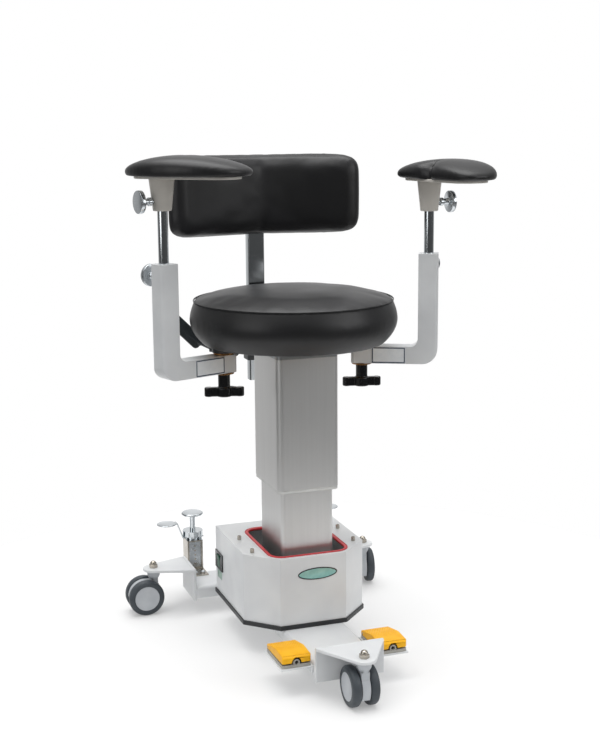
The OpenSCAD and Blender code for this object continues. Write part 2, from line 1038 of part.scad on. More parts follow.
module seat_frame() {
    lever_r_out = norm(lever_hub - [0, seat_y]);
    lever_turn = atan2(lever_hub.y - seat_y, lever_hub.x);
    color("dimgray")
        stool() {
            difference() {
                translate([0, seat_y, frame_z])
                    linear_extrude(frame_h) {
                        square([2 * pivot_x, frame_d], center = true);
                        for (side = [-1, 1])
                            translate([side * pivot_x, 0])
                                circle(r = frame_d / 2);
                        rounded_2d([hub_plate_w, hub_plate_d], hub_plate_corner);
                        rotate(lever_turn)
                            translate([0, -lug_w / 2 - lug_t])
                                square([lever_r_out + lug_w / 2, lug_w + 2 * lug_t]);
                    }
                translate([0, seat_y, frame_z - cut])
                    cylinder(r = post_r + fit, h = post_h + cut);
            }
            for (side = [-1, 1])
                translate([side * pivot_x, seat_y, arm_z - stud_drop])
                    cylinder(r = stud_r, h = frame_z - arm_z + stud_drop + frame_h / 2);
            at_lever() {
                for (side = [-1, 1])
                    translate([0, side * (lug_w + lug_t) / 2, (frame_z + frame_h / 2 - lever_hub_z) / 2])
                        cube([lug_w, lug_t, frame_z + frame_h / 2 - lever_hub_z], center = true);
                for (side = [-1, 1])
                    translate([0, side * (lug_w + lug_t) / 2, 0])
                        rotate([90, 0, 0])
                            cylinder(r = lug_w / 2, h = lug_t, center = true);
                rotate([90, 0, 0])
                    cylinder(r = lug_pin_r, h = lug_w + lug_t, center = true);
            }
        }
}

module seat_board() {
    color("saddlebrown")
        stool()
            translate([0, seat_y, seat_z])
                cylinder(r = board_r, h = board_t, $fn = 96);
}

// Radius of the cushion's side at a share of the way from its rim up to its seam
function side_radius(s) =
    let(b = bulge_rise / seam_rise, seam_r = seat_r - seam_inset)
        s < b
            ? rim_r + (seat_r - rim_r) * sin(90 * s / b)
            : seat_r - (seat_r - seam_r) * (1 - cos(90 * (s - b) / (1 - b)));

// Crowned seat cushion: rim, bulging side, welted seam and domed top over the board's pocket
module seat_cushion() {
    seam_r = seat_r - seam_inset;
    seam_z = seat_z + seam_rise;
    side = [for (i = [0 : side_steps])
        let(s = i / side_steps)
            [side_radius(s), seat_z + (seam_rise - seam_depth) * s]];
    welt = [for (i = [0 : welt_steps])
        let(a = 180 * i / welt_steps - 90)
            [seam_r + welt_r * cos(a), seam_z + welt_r * (1 + sin(a))]];
    crown_h = seat_h - seam_rise - 2 * welt_r;
    top = [for (i = [1 : crown_steps - 1])
        let(a = 90 * i / crown_steps)
            [seam_r * cos(a), seam_z + 2 * welt_r + crown_h * pow(sin(a), crown_power)]];
    color("black")
        stool()
            translate([0, seat_y, 0])
                difference() {
                    rotate_extrude($fn = 96)
                        polygon(concat([[0, seat_z]], side, welt, top, [[0, seat_z + seat_h]]));
                    translate([0, 0, seat_z - cut])
                        cylinder(r = board_r, h = board_t + cut, $fn = 96);
                }
}

module pivot_washers() {
    color("darkgoldenrod")
        stool()
            for (side = [-1, 1])
                translate([side * pivot_x, seat_y, 0])
                    difference() {
                        union() {
                            translate([0, 0, under_washer_z])
                                cylinder(r = washer_r, h = washer_t);
                            translate([0, 0, over_washer_z])
                                cylinder(r = washer_r, h = upper_washer_t);
                        }
                        translate([0, 0, under_washer_z - cut])
                            cylinder(r = stud_r + fit, h = frame_z - under_washer_z + 2 * cut);
                    }
}

// Arm, sleeve and gusset that carry the backrest's bar behind the seat
module back_clamp() {
    start = seat_y + hub_plate_d / 2;
    sleeve_front = bar_y - sleeve_wall;
    sleeve_top = frame_z + arm_bar_t;
    knob_y = bar_y + bar_d;
    inside = sleeve_front + sleeve_wall / 2;
    color("dimgray")
        stool()
            difference() {
                union() {
                    translate([-arm_bar_w / 2, start, frame_z])
                        cube([arm_bar_w, sleeve_front - start + sleeve_wall / 2, arm_bar_t]);
                    translate([0, bar_y + bar_d / 2, sleeve_z])
                        linear_extrude(sleeve_top - sleeve_z)
                            rounded_2d([bar_w + 2 * sleeve_wall, bar_d + 2 * sleeve_wall], sleeve_wall / 2);
                    along_x(gusset_t)
                        polygon([[sleeve_front - gusset_out, frame_z], [inside, frame_z],
                            [inside, frame_z - gusset_drop],
                            [sleeve_front, frame_z - gusset_drop]]);
                }
                translate([0, bar_y + bar_d / 2, sleeve_z - cut])
                    linear_extrude(sleeve_top - sleeve_z + 2 * cut)
                        rounded_2d([bar_w + 2 * gap, bar_d + 2 * gap], bar_r + gap);
                translate([0, knob_y, back_knob_z])
                    rotate([-90, 0, 0])
                        cylinder(r = knob_stud_r + fit, h = sleeve_wall + cut);
            }
}

// Puts its children at the lever's hinge with +X along its rod
module at_lever() {
    run = lever_bend - lever_hub;
    translate([lever_hub.x, lever_hub.y, lever_hub_z])
        rotate(atan2(run.y, run.x))
            children();
}

module seat_lever() {
    hub = [lever_hub.x, lever_hub.y, lever_hub_z];
    bend = [lever_bend.x, lever_bend.y, lever_bend_z];
    end = [lever_end.x, lever_end.y, lever_end_z];
    color("black")
        stool() {
            difference() {
                union() {
                    at_lever()
                        rotate([90, 0, 0])
                            cylinder(r = lug_w / 2, h = lug_w - 2 * gap, center = true);
                    round_bar(hub, bend, lever_sleeve_r);
                }
                at_lever()
                    rotate([90, 0, 0])
                        cylinder(r = lug_pin_r + fit, h = lug_w + cut, center = true);
            }
            round_bar(hub + lever_lap_share * (bend - hub), end, lever_r);
            translate(end)
                rotate([0, -paddle_angle, 0])
                    along_y(paddle_t)
                        translate([0, paddle_len / 2 - paddle_lap])
                            rounded_2d([paddle_w, paddle_len], paddle_corner);
        }
}

// Backrest

module back_bar() {
    color("silver")
        stool()
            translate([0, bar_y + bar_d / 2, bar_z])
                rounded_tube([bar_w, bar_d], bar_r, bar_wall, bar_len);
}

module back_knob() {
    color("black")
        stool()
            translate([0, bar_y + bar_d, back_knob_z])
                round_knob(gap, sleeve_wall);
}

// Bent steel plate behind the cushion
module back_plate() {
    r = back_r + back_t;
    turn = back_plate_w / r * 180 / PI;
    color("dimgray")
        stool()
            translate([0, back_axis_y, back_z + (back_h - back_plate_h) / 2])
                rotate(90 - turn / 2)
                    rotate_extrude(angle = turn, $fn = 160)
                        translate([r, 0])
                            square([back_plate_t, back_plate_h]);
}

// Point of the back cushion at share k of its outline and share t of its depth, bent round its axis
function back_point(a, k, t) =
    let(p = squircle(a, k * back_w, k * back_h, back_square),
        turn = p.x / back_r * 180 / PI,
        r = back_r + t * (back_t - gap))
            [r * sin(turn), back_axis_y + r * cos(turn), back_z + back_h / 2 + p.y];

module back_cushion() {
    rings = len(back_ring_shares);
    last = back_ring_shares[rings - 1];
    points = concat([back_point(0, 0, 1)],
        [for (share = back_ring_shares, i = [0 : back_points - 1])
            back_point(360 * i / back_points, share[0], share[1])],
        [back_point(0, 0, last[1])]);
    color("black")
        stool()
            polyhedron(points, ring_faces(back_points, rings));
}

// Armrests, each in its own frame: +X outward along the beam, +Z up, the pivot at the origin

module at_arm(side, turn) {
    stool()
        translate([side * pivot_x, seat_y, 0])
            mirror([side < 0 ? 1 : 0, 0, 0])
                rotate(-turn)
                    children();
}

module arm_shape() {
    difference() {
        intersection() {
            along_y(arm_w) {
                translate([-arm_end, arm_z])
                    square([arm_end + arm_len - arm_outer_r, arm_h]);
                translate([arm_len - arm_post, arm_z + arm_outer_r])
                    square([arm_post, arm_rise - arm_outer_r]);
                intersection() {
                    translate([arm_len - arm_outer_r, arm_z + arm_outer_r])
                        circle(r = arm_outer_r);
                    translate([arm_len - arm_outer_r, arm_z])
                        square(arm_outer_r);
                }
                difference() {
                    translate([arm_len - arm_post - arm_inner_r, arm_z + arm_h - cut])
                        square([arm_inner_r + cut, arm_inner_r + cut]);
                    translate([arm_len - arm_post - arm_inner_r, arm_z + arm_h + arm_inner_r])
                        circle(r = arm_inner_r);
                }
            }
            translate([(arm_len - arm_end) / 2, 0, arm_z - cut])
                linear_extrude(arm_rise + 2 * cut)
                    rounded_2d([arm_len + arm_end, arm_w], arm_edge_r);
        }
        translate([0, 0, arm_z - cut])
            cylinder(r = stud_r + fit, h = arm_h + 2 * cut);
        translate([arm_reach, 0, arm_top - rod_bore_depth])
            cylinder(r = rod_d / 2 + fit, h = rod_bore_depth + cut);
        translate([arm_reach, 0, arm_top - knob_drop])
            rotate([-90, 0, 0])
                cylinder(r = knob_stud_r + fit, h = arm_w);
    }
}

module arm_left() {
    color("gainsboro")
        at_arm(-1, arm_left_angle)
            arm_shape();
}

module arm_right() {
    color("gainsboro")
        at_arm(1, arm_right_angle)
            arm_shape();
}

// T-shaped clamping knob threaded on the pivot stud
module t_knob() {
    top = under_washer_z - gap;
    foot = top - t_stem_h - t_bar_h;
    difference() {
        union() {
            translate([0, 0, foot])
                cylinder(r = t_stem_r, h = t_bar_h + t_stem_h);
            translate([0, 0, foot])
                linear_extrude(t_bar_h) {
                    circle(r = t_hub_r);
                    square([2 * (t_bar_half - t_bar_w / 2), t_bar_neck], center = true);
                    for (side = [-1, 1])
                        translate([side * (t_bar_half - t_bar_w / 2), 0])
                            circle(r = t_bar_w / 2);
                }
        }
        translate([0, 0, arm_z - stud_drop - gap])
            cylinder(r = stud_r + fit, h = stud_drop + cut);
    }
}

module arm_knob_left() {
    color("black")
        at_arm(-1, 0)
            rotate(t_knob_angle)
                t_knob();
}

module arm_knob_right() {
    color("black")
        at_arm(1, 0)
            rotate(-t_knob_angle)
                t_knob();
}

module rod(rise) {
    translate([arm_reach, 0, arm_top + rise + socket_bore - gap - rod_len])
        cylinder(r = rod_d / 2, h = rod_len);
}

module rod_left() {
    color("silver")
        at_arm(-1, arm_left_angle)
            rod(left_pad_rise);
}

module rod_right() {
    color("silver")
        at_arm(1, arm_right_angle)
            rod(right_pad_rise);
}

module rod_knob() {
    translate([arm_reach, 0, arm_top - knob_drop])
        round_knob(rod_d / 2 + gap, arm_w / 2);
}

module rod_knob_left() {
    color("silver")
        at_arm(-1, arm_left_angle)
            rod_knob();
}

module rod_knob_right() {
    color("silver")
        at_arm(1, arm_right_angle)
            rod_knob();
}

// Puts its children on a rod at the socket's foot, the pad's length along Y and +X outward
module at_pad(side, arm_turn, pad_turn, rise) {
    at_arm(side, arm_turn)
        translate([arm_reach, 0, arm_top + rise])
            rotate(arm_turn - pad_turn)
                children();
}

// Tapered socket with a blind bore for the rod, and the pad's plate on top
module pad_socket(knob_turn) {
    difference() {
        union() {
            cylinder(r1 = socket_foot_r, r2 = socket_top_r, h = socket_h);
            translate([0, -pad_ahead, socket_h])
                linear_extrude(plate_t)
                    rounded_2d([plate_w, plate_len], plate_corner);
        }
        translate([0, 0, -cut])
            cylinder(r = rod_d / 2 + fit, h = socket_bore + cut);
        translate([0, 0, socket_knob_rise])
            rotate([0, 90, knob_turn])
                cylinder(r = knob_stud_r + fit, h = socket_top_r);
    }
}

module pad_socket_left() {
    color("silver")
        at_pad(-1, arm_left_angle, left_pad_angle, left_pad_rise)
            pad_socket(left_knob_angle);
}

module pad_socket_right() {
    color("silver")
        at_pad(1, arm_right_angle, right_pad_angle, right_pad_rise)
            pad_socket(right_knob_angle);
}

// Radius of the socket at the top of the knob's neck
function socket_face() =
    socket_foot_r + (socket_top_r - socket_foot_r) * (socket_knob_rise + knob_neck_r) / socket_h;

module pad_knob(knob_turn) {
    translate([0, 0, socket_knob_rise])
        rotate(knob_turn - 90)
            round_knob(rod_d / 2 + gap, socket_face());
}

module pad_knob_left() {
    color("silver")
        at_pad(-1, arm_left_angle, left_pad_angle, left_pad_rise)
            pad_knob(left_knob_angle);
}

module pad_knob_right() {
    color("silver")
        at_pad(1, arm_right_angle, right_pad_angle, right_pad_rise)
            pad_knob(right_knob_angle);
}

// Point of an arm pad at share k of its outline and share t of its thickness, bent to a kidney
function pad_point(a, k, t) =
    let(p = squircle(a, k * pad_w, k * pad_len, pad_square),
        v = 2 * p.y / pad_len)
            [pad_out + p.x + pad_bend * (pad_bend_share - v * v), p.y - pad_ahead,
                socket_h + plate_t + t * pad_t];

module arm_pad() {
    rings = len(pad_ring_shares);
    points = concat([pad_point(0, 0, 0)],
        [for (share = pad_ring_shares, i = [0 : pad_points - 1])
            pad_point(360 * i / pad_points, share[0], share[1])],
        [pad_point(0, 0, 1)]);
    faces = ring_faces(pad_points, rings);
    polyhedron(points, [for (f = faces) [f[2], f[1], f[0]]]);
}

module arm_pad_left() {
    color("black")
        at_pad(-1, arm_left_angle, left_pad_angle, left_pad_rise)
            arm_pad();
}

module arm_pad_right() {
    color("black")
        at_pad(1, arm_right_angle, right_pad_angle, right_pad_rise)
            arm_pad();
}

// Foot switches, each in its own frame: the front end at Y = 0, +Y to the rear

module at_pedal(side) {
    stool()
        translate([side * pedal_x, -pedal_front, 0])
            children();
}

module pedal_plates() {
    reach = pedal_gap + pedal_w + plate_lip;
    width = pedal_len + 2 * plate_lip;
    color("white")
        stool()
            for (side = [-1, 1])
                translate([side * beam_w / 2, pedal_mid_y, pedal_plate_z]) {
                    translate([side * reach / 2, 0, pedal_plate_t / 2])
                        cube([reach, width, pedal_plate_t], center = true);
                    translate([side * pedal_plate_t / 2, 0, pedal_plate_t - plate_flange_h / 2])
                        cube([pedal_plate_t, width, plate_flange_h], center = true);
                }
}

module pedal_bases() {
    color("darkgray")
        for (side = [-1, 1])
            at_pedal(side)
                pedal_base();
}

// Grey base with its switch block, hinge post and round cable entry
module pedal_base() {
    entry_z = pedal_base_top + entry_up;
    pin_y = pedal_len - pedal_pin_in;
    pin_z = pedal_base_top + pedal_pin_up;
    post_w = pedal_w - 2 * (pedal_wall + fork_side_gap);
    difference() {
        union() {
            translate([0, pedal_len / 2, pedal_base_top - pedal_base_h])
                linear_extrude(pedal_base_h)
                    rounded_2d([pedal_w, pedal_len], pedal_edge);
            translate([0, pedal_len / 2, pedal_base_top + switch_block.z / 2])
                cube(switch_block, center = true);
            translate([0, pin_y, pedal_base_top + pedal_pin_up / 2])
                cube([post_w, pedal_post, pedal_pin_up], center = true);
            translate([0, pin_y, pin_z])
                rotate([0, 90, 0]) {
                    cylinder(r = pedal_post / 2, h = post_w, center = true);
                    cylinder(r = pedal_pin_r, h = pedal_w, center = true);
                }
            translate([0, entry_boss_len / 2 + gap, entry_z])
                rotate([90, 0, 0])
                    cylinder(r = entry_boss_r, h = entry_boss_len, center = true);
            translate([0, entry_boss_len / 2 + gap, pedal_base_top + entry_up / 2])
                cube([2 * entry_boss_r, entry_boss_len, entry_up], center = true);
        }
        translate([0, gap - cut, entry_z])
            rotate([-90, 0, 0])
                cylinder(r = entry_d / 2, h = entry_depth + cut);
    }
}

// Yellow rocker cover: sloping shell, hinged at the rear, arched over the cable entry
module pedal() {
    front_z = pedal_base_top + pedal_front_lift;
    back_z = pedal_base_top + pedal_rear_lift;
    ridge_y = pedal_ridge_share * pedal_len;
    top_front = pedal_base_top + pedal_front_h;
    top_ridge = pedal_base_top + pedal_ridge_h;
    top_back = pedal_base_top + pedal_back_h;
    entry_z = pedal_base_top + entry_up;
    difference() {
        intersection() {
            along_x(pedal_w)
                polygon([[0, front_z], [0, top_front - pedal_edge], [pedal_edge, top_front],
                    [ridge_y, top_ridge], [pedal_len - pedal_edge, top_back],
                    [pedal_len, top_back - pedal_edge], [pedal_len, back_z]]);
            translate([0, pedal_len / 2, 0])
                linear_extrude(2 * top_ridge)
                    rounded_2d([pedal_w, pedal_len], pedal_edge);
        }
        along_x(pedal_w - 2 * pedal_wall)
            polygon([[pedal_wall, pedal_base_top - cut], [pedal_wall, top_front - pedal_edge - pedal_wall],
                [pedal_edge + pedal_wall, top_front - pedal_wall],
                [ridge_y, top_ridge - pedal_wall], [pedal_len - pedal_edge, top_back - pedal_wall],
                [pedal_len - pedal_wall, top_back - pedal_edge - pedal_wall],
                [pedal_len - pedal_wall, pedal_base_top - cut]]);
        translate([0, pedal_len - pedal_pin_in, pedal_base_top + pedal_pin_up])
            rotate([0, 90, 0])
                cylinder(r = pedal_pin_r + fit, h = pedal_w + cut, center = true);
        translate([0, 0, entry_z])
            rotate([90, 0, 0])
                cylinder(r = entry_boss_r + entry_arch, h = 2 * (pedal_wall + pedal_edge), center = true);
        translate([0, 0, entry_z - entry_boss_r])
            cube([2 * (entry_boss_r + entry_arch), 2 * (pedal_wall + pedal_edge), 2 * entry_boss_r],
                center = true);
    }
}

module pedal_left() {
    color("gold")
        at_pedal(-1)
            pedal();
}

module pedal_right() {
    color("gold")
        at_pedal(1)
            pedal();
}

// Floor brakes, each in its own frame: the stem on the Z axis, +X outward

module at_brake(side) {
    stool()
        translate([side * brake_x, brake_y, 0])
            mirror([side < 0 ? 1 : 0, 0, 0])
                children();
}

module brake_housing() {
    front = -brake_d / 2;
    foot_top = beam_top + brake_foot_t;
    bolt_y = front - brake_foot_out + brake_foot_bolt_in;
    open_h = brake_high - foot_top;
    difference() {
        union() {
            translate([0, 0, (brake_low + brake_high) / 2])
                cube([brake_w, brake_d, brake_high - brake_low], center = true);
            translate([0, front - brake_foot_out / 2, beam_top + brake_foot_t / 2])
                cube([brake_w, brake_foot_out, brake_foot_t], center = true);
            for (side = [-1, 1])
                translate([side * brake_foot_bolt_x, bolt_y, foot_top])
                    intersection() {
                        sphere(r = brake_bolt_r);
                        translate([0, 0, brake_bolt_r])
                            cube(2 * brake_bolt_r, center = true);
                    }
            translate([0, 0, neck_z])
                cylinder(r = neck_r, h = neck_h);
            translate([0, 0, neck_z + neck_h])
                cylinder(r = collar_r, h = collar_h);
            for (side = [-1, 1])
                translate([-release_x, side * (slot_w + release_ear) / 2, neck_z + neck_h / 2])
                    cube([2 * release_ear, release_ear, neck_h], center = true);
        }
        translate([0, front, foot_top + open_h / 2])
            cube([brake_open_w, 2 * brake_open_d, open_h - 2 * brake_foot_t], center = true);
        translate([0, 0, brake_low - cut])
            cylinder(r = stem_r + fit, h = neck_z + neck_h + collar_h - brake_low + 2 * cut);
        translate([0, 0, neck_z + neck_h / 2])
            cube([2 * collar_r, slot_w, neck_h], center = true);
    }
    for (i = [0 : brake_screws - 1])
        translate([0, front + brake_open_d, foot_top + brake_screw_step * (i + 1)])
            rotate([90, 0, 0])
                cylinder(r = brake_screw_r, h = brake_screw_h);
    translate([-release_x, 0, release_z])
        rotate([90, 0, 0])
            cylinder(r = release_pin_r, h = slot_w + cut, center = true);
}

module brake_housings() {
    color("silver")
        for (side = [-1, 1])
            at_brake(side)
                brake_housing();
}

// Foot disc, stem and shoe under the housing
module brake_plunger() {
    cylinder_z = shoe_z + shoe_h;
    translate([0, 0, brake_top - disc_t])
        rimmed_disc(brake_disc_d / 2, disc_t, disc_rim_r);
    translate([0, 0, cylinder_z])
        cylinder(r = stem_r, h = brake_top - disc_t - cylinder_z);
    translate([0, 0, shoe_z])
        rimmed_disc(shoe_r, shoe_h, disc_rim_r);
}

module brake_plunger_left() {
    color("silver")
        at_brake(-1)
            brake_plunger();
}

module brake_plunger_right() {
    color("silver")
        at_brake(1)
            brake_plunger();
}

// Bent strip with a round foot disc, hinged at its inner end under the collar
module brake_release() {
    top = release_z + release_eye_r;
    difference() {
        union() {
            along_y(release_w)
                polygon([[-release_x - release_tail, top - release_t], [release_reach, top - release_t],
                    [release_reach + release_bend, top + release_rise - release_t],
                    [release_reach + release_bend + release_t, top + release_rise - release_t],
                    [release_reach + release_bend + release_t, top + release_rise],
                    [release_reach + release_bend - release_t / 2, top + release_rise],
                    [release_reach - release_t / 2, top], [-release_x - release_tail, top]]);
            translate([-release_x, 0, release_z])
                rotate([90, 0, 0])
                    cylinder(r = release_eye_r, h = release_w, center = true);
            translate([release_reach + release_bend + release_disc_out, 0, top + release_rise - release_t])
                rimmed_disc(release_disc_r, release_t, release_rim);
        }
        translate([-release_x, 0, release_z])
            rotate([90, 0, 0])
                cylinder(r = release_pin_r + fit, h = slot_w + cut, center = true);
        translate([0, 0, neck_z])
            cylinder(r = release_hole_r, h = neck_h);
    }
}

module brake_release_left() {
    color("silver")
        at_brake(-1)
            brake_release();
}

module brake_release_right() {
    color("silver")
        at_brake(1)
            brake_release();
}

front_beam();
rear_crossbar();
end_plates();
caster_plates();
caster_bolts();
base_tray();
base_cover();
edge_strip();
opening_edging();
cover_screws();
inner_column();
lift_drive();
switch_bezel();
power_rocker();
pedal_plates();
pedal_bases();
pedal_left();
pedal_right();
brake_housings();
brake_plunger_left();
brake_plunger_right();
brake_release_left();
brake_release_right();
fork_front();
fork_left();
fork_right();
hubs_front();
hubs_left();
hubs_right();
tyres_front();
tyres_left();
tyres_right();
outer_column();
column_lip();
column_head();
seat_frame();
seat_board();
seat_cushion();
pivot_washers();
back_clamp();
seat_lever();
back_bar();
back_plate();
back_cushion();
back_knob();
arm_left();
arm_right();
arm_knob_left();
arm_knob_right();
rod_left();
rod_right();
rod_knob_left();
rod_knob_right();
pad_socket_left();
pad_socket_right();
pad_knob_left();
pad_knob_right();
arm_pad_left();
arm_pad_right();
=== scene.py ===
import json
from math import cos, exp, pi, radians, sin, sqrt

import bmesh
import bpy
from mathutils import Matrix, Vector
from mathutils.bvhtree import BVHTree

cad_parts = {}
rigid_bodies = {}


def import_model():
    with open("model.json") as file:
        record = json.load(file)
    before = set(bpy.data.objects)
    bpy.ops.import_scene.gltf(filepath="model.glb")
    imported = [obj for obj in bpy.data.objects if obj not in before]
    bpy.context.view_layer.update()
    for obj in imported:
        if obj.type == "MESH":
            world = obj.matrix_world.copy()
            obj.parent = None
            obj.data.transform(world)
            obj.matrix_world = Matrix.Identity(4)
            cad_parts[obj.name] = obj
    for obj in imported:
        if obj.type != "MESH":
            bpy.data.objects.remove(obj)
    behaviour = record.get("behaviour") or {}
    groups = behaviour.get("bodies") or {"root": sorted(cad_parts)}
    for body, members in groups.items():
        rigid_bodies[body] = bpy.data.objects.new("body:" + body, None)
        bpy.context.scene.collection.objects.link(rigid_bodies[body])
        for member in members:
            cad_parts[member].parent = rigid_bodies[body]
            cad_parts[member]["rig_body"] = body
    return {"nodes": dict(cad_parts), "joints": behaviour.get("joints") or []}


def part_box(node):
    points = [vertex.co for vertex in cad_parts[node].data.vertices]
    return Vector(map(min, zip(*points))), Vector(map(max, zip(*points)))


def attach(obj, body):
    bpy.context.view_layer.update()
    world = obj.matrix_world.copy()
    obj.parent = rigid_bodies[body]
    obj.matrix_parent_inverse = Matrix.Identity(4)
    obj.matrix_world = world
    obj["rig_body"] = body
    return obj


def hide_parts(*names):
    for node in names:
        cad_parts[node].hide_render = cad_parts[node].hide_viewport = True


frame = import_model()
nodes = frame["nodes"]
joints = {joint["name"]: joint for joint in frame["joints"]}
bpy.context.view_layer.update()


# Chassis: a front beam and a rear crossbar of rectangular steel tube with end
# plates and caster plates, welded and powder coated in satin white. The tray
# under the cover is bent sheet with the same coat.

def linear(code):
    """The linear colour of an sRGB hex value."""
    parts = [int(code[i:i + 2], 16) / 255 for i in (1, 3, 5)]
    return [c / 12.92 if c <= 0.04045 else ((c + 0.055) / 1.055) ** 2.4 for c in parts] + [1]


def add_node(tree, kind, inputs, **settings):
    """Adds a shader node with its settings, its values and its links."""
    node = tree.nodes.new("ShaderNode" + kind)
    for name, value in settings.items():
        setattr(node, name, value)
    for name, value in inputs.items():
        if isinstance(value, bpy.types.NodeSocket):
            tree.links.new(value, node.inputs[name])
        else:
            node.inputs[name].default_value = value
    return node


def finish(name, colours, patch, rough, grain, depth, values, stretch=(1, 1, 1)):
    """A finish whose colour and roughness drift in patches of patch mm, and whose
    grain of grain mm stands depth mm proud. Values go on the shader's sockets."""
    material = bpy.data.materials.new(name)
    material.use_nodes = True
    tree = material.node_tree
    shader = tree.nodes["Principled BSDF"]
    for socket, value in values.items():
        shader.inputs[socket].default_value = value
    spot = add_node(tree, "TexCoord", {})
    spread = add_node(tree, "Mapping", {"Vector": spot.outputs["Object"], "Scale": stretch})
    drift = add_node(tree, "TexNoise", {"Vector": spread.outputs[0], "Scale": 1000 / patch, "Detail": 3})
    tone = add_node(tree, "ValToRGB", {"Fac": drift.outputs["Fac"]})
    for end, place, code in zip(tone.color_ramp.elements, (0.35, 0.65), colours):
        end.position = place
        end.color = linear(code)
    gloss = add_node(tree, "MapRange", {"Value": drift.outputs["Fac"], "From Min": 0.3, "From Max": 0.7,
                                        "To Min": rough[0], "To Max": rough[1]})
    fine = add_node(tree, "TexNoise", {"Vector": spread.outputs[0], "Scale": 1000 / grain, "Detail": 2})
    relief = add_node(tree, "Bump", {"Height": fine.outputs["Fac"], "Distance": depth / 1000,
                                     "Strength": 1})
    tree.links.new(tone.outputs["Color"], shader.inputs["Base Color"])
    tree.links.new(gloss.outputs["Result"], shader.inputs["Roughness"])
    tree.links.new(relief.outputs["Normal"], shader.inputs["Normal"])
    return material


def piece(name, bm):
    """Makes a smooth-shaded object of a bmesh, in place."""
    mesh = bpy.data.meshes.new(name)
    bm.to_mesh(mesh)
    bm.free()
    if "custom_normal" in mesh.attributes:
        mesh.attributes.remove(mesh.attributes["custom_normal"])
    mesh.shade_smooth()
    obj = bpy.data.objects.new(name, mesh)
    bpy.context.scene.collection.objects.link(obj)
    return obj


def round_edges(obj, width, angle=30, segments=3):
    """Rounds the edges that turn by more than angle degrees, width mm wide."""
    bevel = obj.modifiers.new("rounded_edges", "BEVEL")
    bevel.width = width / 1000
    bevel.segments = segments
    bevel.limit_method = "ANGLE"
    bevel.angle_limit = radians(angle)
    bevel.use_clamp_overlap = False
    bevel.harden_normals = True


def dress(obj, body, material, slot, *replaced):
    """Gives a piece its finish, its body and the CAD nodes it stands for. Slot is not used."""
    if not obj.data.materials:
        obj.data.materials.append(material)
    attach(obj, body)
    if replaced:
        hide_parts(*replaced)
    return obj


def from_cad(node):
    """A bmesh of a CAD node with its loose triangles joined into whole faces."""
    bm = bmesh.new()
    bm.from_mesh(nodes[node].data)
    bmesh.ops.remove_doubles(bm, verts=bm.verts, dist=2e-6)
    bmesh.ops.dissolve_limit(bm, angle_limit=radians(1), verts=bm.verts, edges=bm.edges)
    return bm


def soften(node, width, material, slot, angle=30):
    """A copy of a CAD node with rounded edges, in its place and on its body."""
    obj = piece(node + "_finished", from_cad(node))
    round_edges(obj, width, angle)
    return dress(obj, nodes[node]["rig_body"], material, slot, node)


# Polyester powder coat: satin, with the slight orange peel of a cured powder,
# drawn at 2.5 mm.
white_coat = finish("white_powder_coat", ("#d9dbdc", "#cfd1d3"), 90, (0.30, 0.38), 2.5, 0.02, {"IOR": 1.5})
for node, width in (("front_beam", 0.6), ("rear_crossbar", 0.6), ("end_plates", 1.2),
                    ("caster_plates", 1.4), ("base_tray", 0.6), ("pedal_plates", 0.7)):
    soften(node, width, white_coat, "white_paint")


# Base cover: folded steel sheet in the same white, screwed to the tray with four
# tall cap screws. A black rubber strip seals its foot, and a red rubber bead
# is pushed over the edge of the opening round the column.

soften("base_cover", 0.9, white_coat, "white_paint")

# Extruded EPDM, black and slightly shiny from handling.
black_edging = finish("black_epdm", ("#202225", "#191b1d"), 40, (0.38, 0.5), 1.5, 0.03, {"IOR": 1.5})
soften("edge_strip", 0.7, black_edging, "black_rubber")

# Soft red silicone rubber, satin.
red_bead = finish("red_silicone", ("#d0343a", "#bd2a31"), 30, (0.35, 0.45), 1.5, 0.02, {"IOR": 1.43})
soften("opening_edging", 1.8, red_bead, "red_rubber")

# Bright nickel plate on steel: a warm silver that mirrors softly.
nickel = finish("nickel_plate", ("#b9b3a9", "#aca69c"), 15, (0.16, 0.26), 0.8, 0.006, {"Metallic": 1})
soften("cover_screws", 0.5, nickel, "chrome")


# Oval badge on the front of the cover: a thin plate with a dark rim round a
# sunken pale green field, stuck on. It carries no words.

def thicken(bm, thickness):
    """Gives a flat face a thickness in mm, upwards, with its faces outward."""
    raised = bmesh.ops.extrude_face_region(bm, geom=bm.faces[:])
    risen = [v for v in raised["geom"] if isinstance(v, bmesh.types.BMVert)]
    bmesh.ops.translate(bm, vec=(0, 0, thickness / 1000), verts=risen)
    bmesh.ops.recalc_face_normals(bm, faces=bm.faces)


badge_width, badge_height, badge_thickness, badge_rim = 80, 24, 0.9, 2.2
badge_aside, badge_z, field_edge, field_sink = 8, 165, 0.8, 0.3
column_x = joints["seat_swivel"]["pos_m"][0]
cover_low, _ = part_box("base_cover")
bm = bmesh.new()
bmesh.ops.create_circle(bm, cap_ends=True, radius=1, segments=72)
bmesh.ops.scale(bm, vec=(badge_width / 2000, badge_height / 2000, 1), verts=bm.verts)
thicken(bm, badge_thickness)
field = [face for face in bm.faces if len(face.verts) > 4 and face.normal.z > 0.5]
bmesh.ops.inset_region(bm, faces=field, thickness=badge_rim / 1000, depth=0)
for face in field:
    face.material_index = 1
bmesh.ops.inset_region(bm, faces=field, thickness=field_edge / 1000, depth=-field_sink / 1000)
stand = (Matrix.Translation((column_x + badge_aside / 1000, cover_low.y, badge_z / 1000))
         @ Matrix.Rotation(pi / 2, 4, "X"))
bmesh.ops.transform(bm, matrix=stand, verts=bm.verts)
badge = piece("oval_badge", bm)
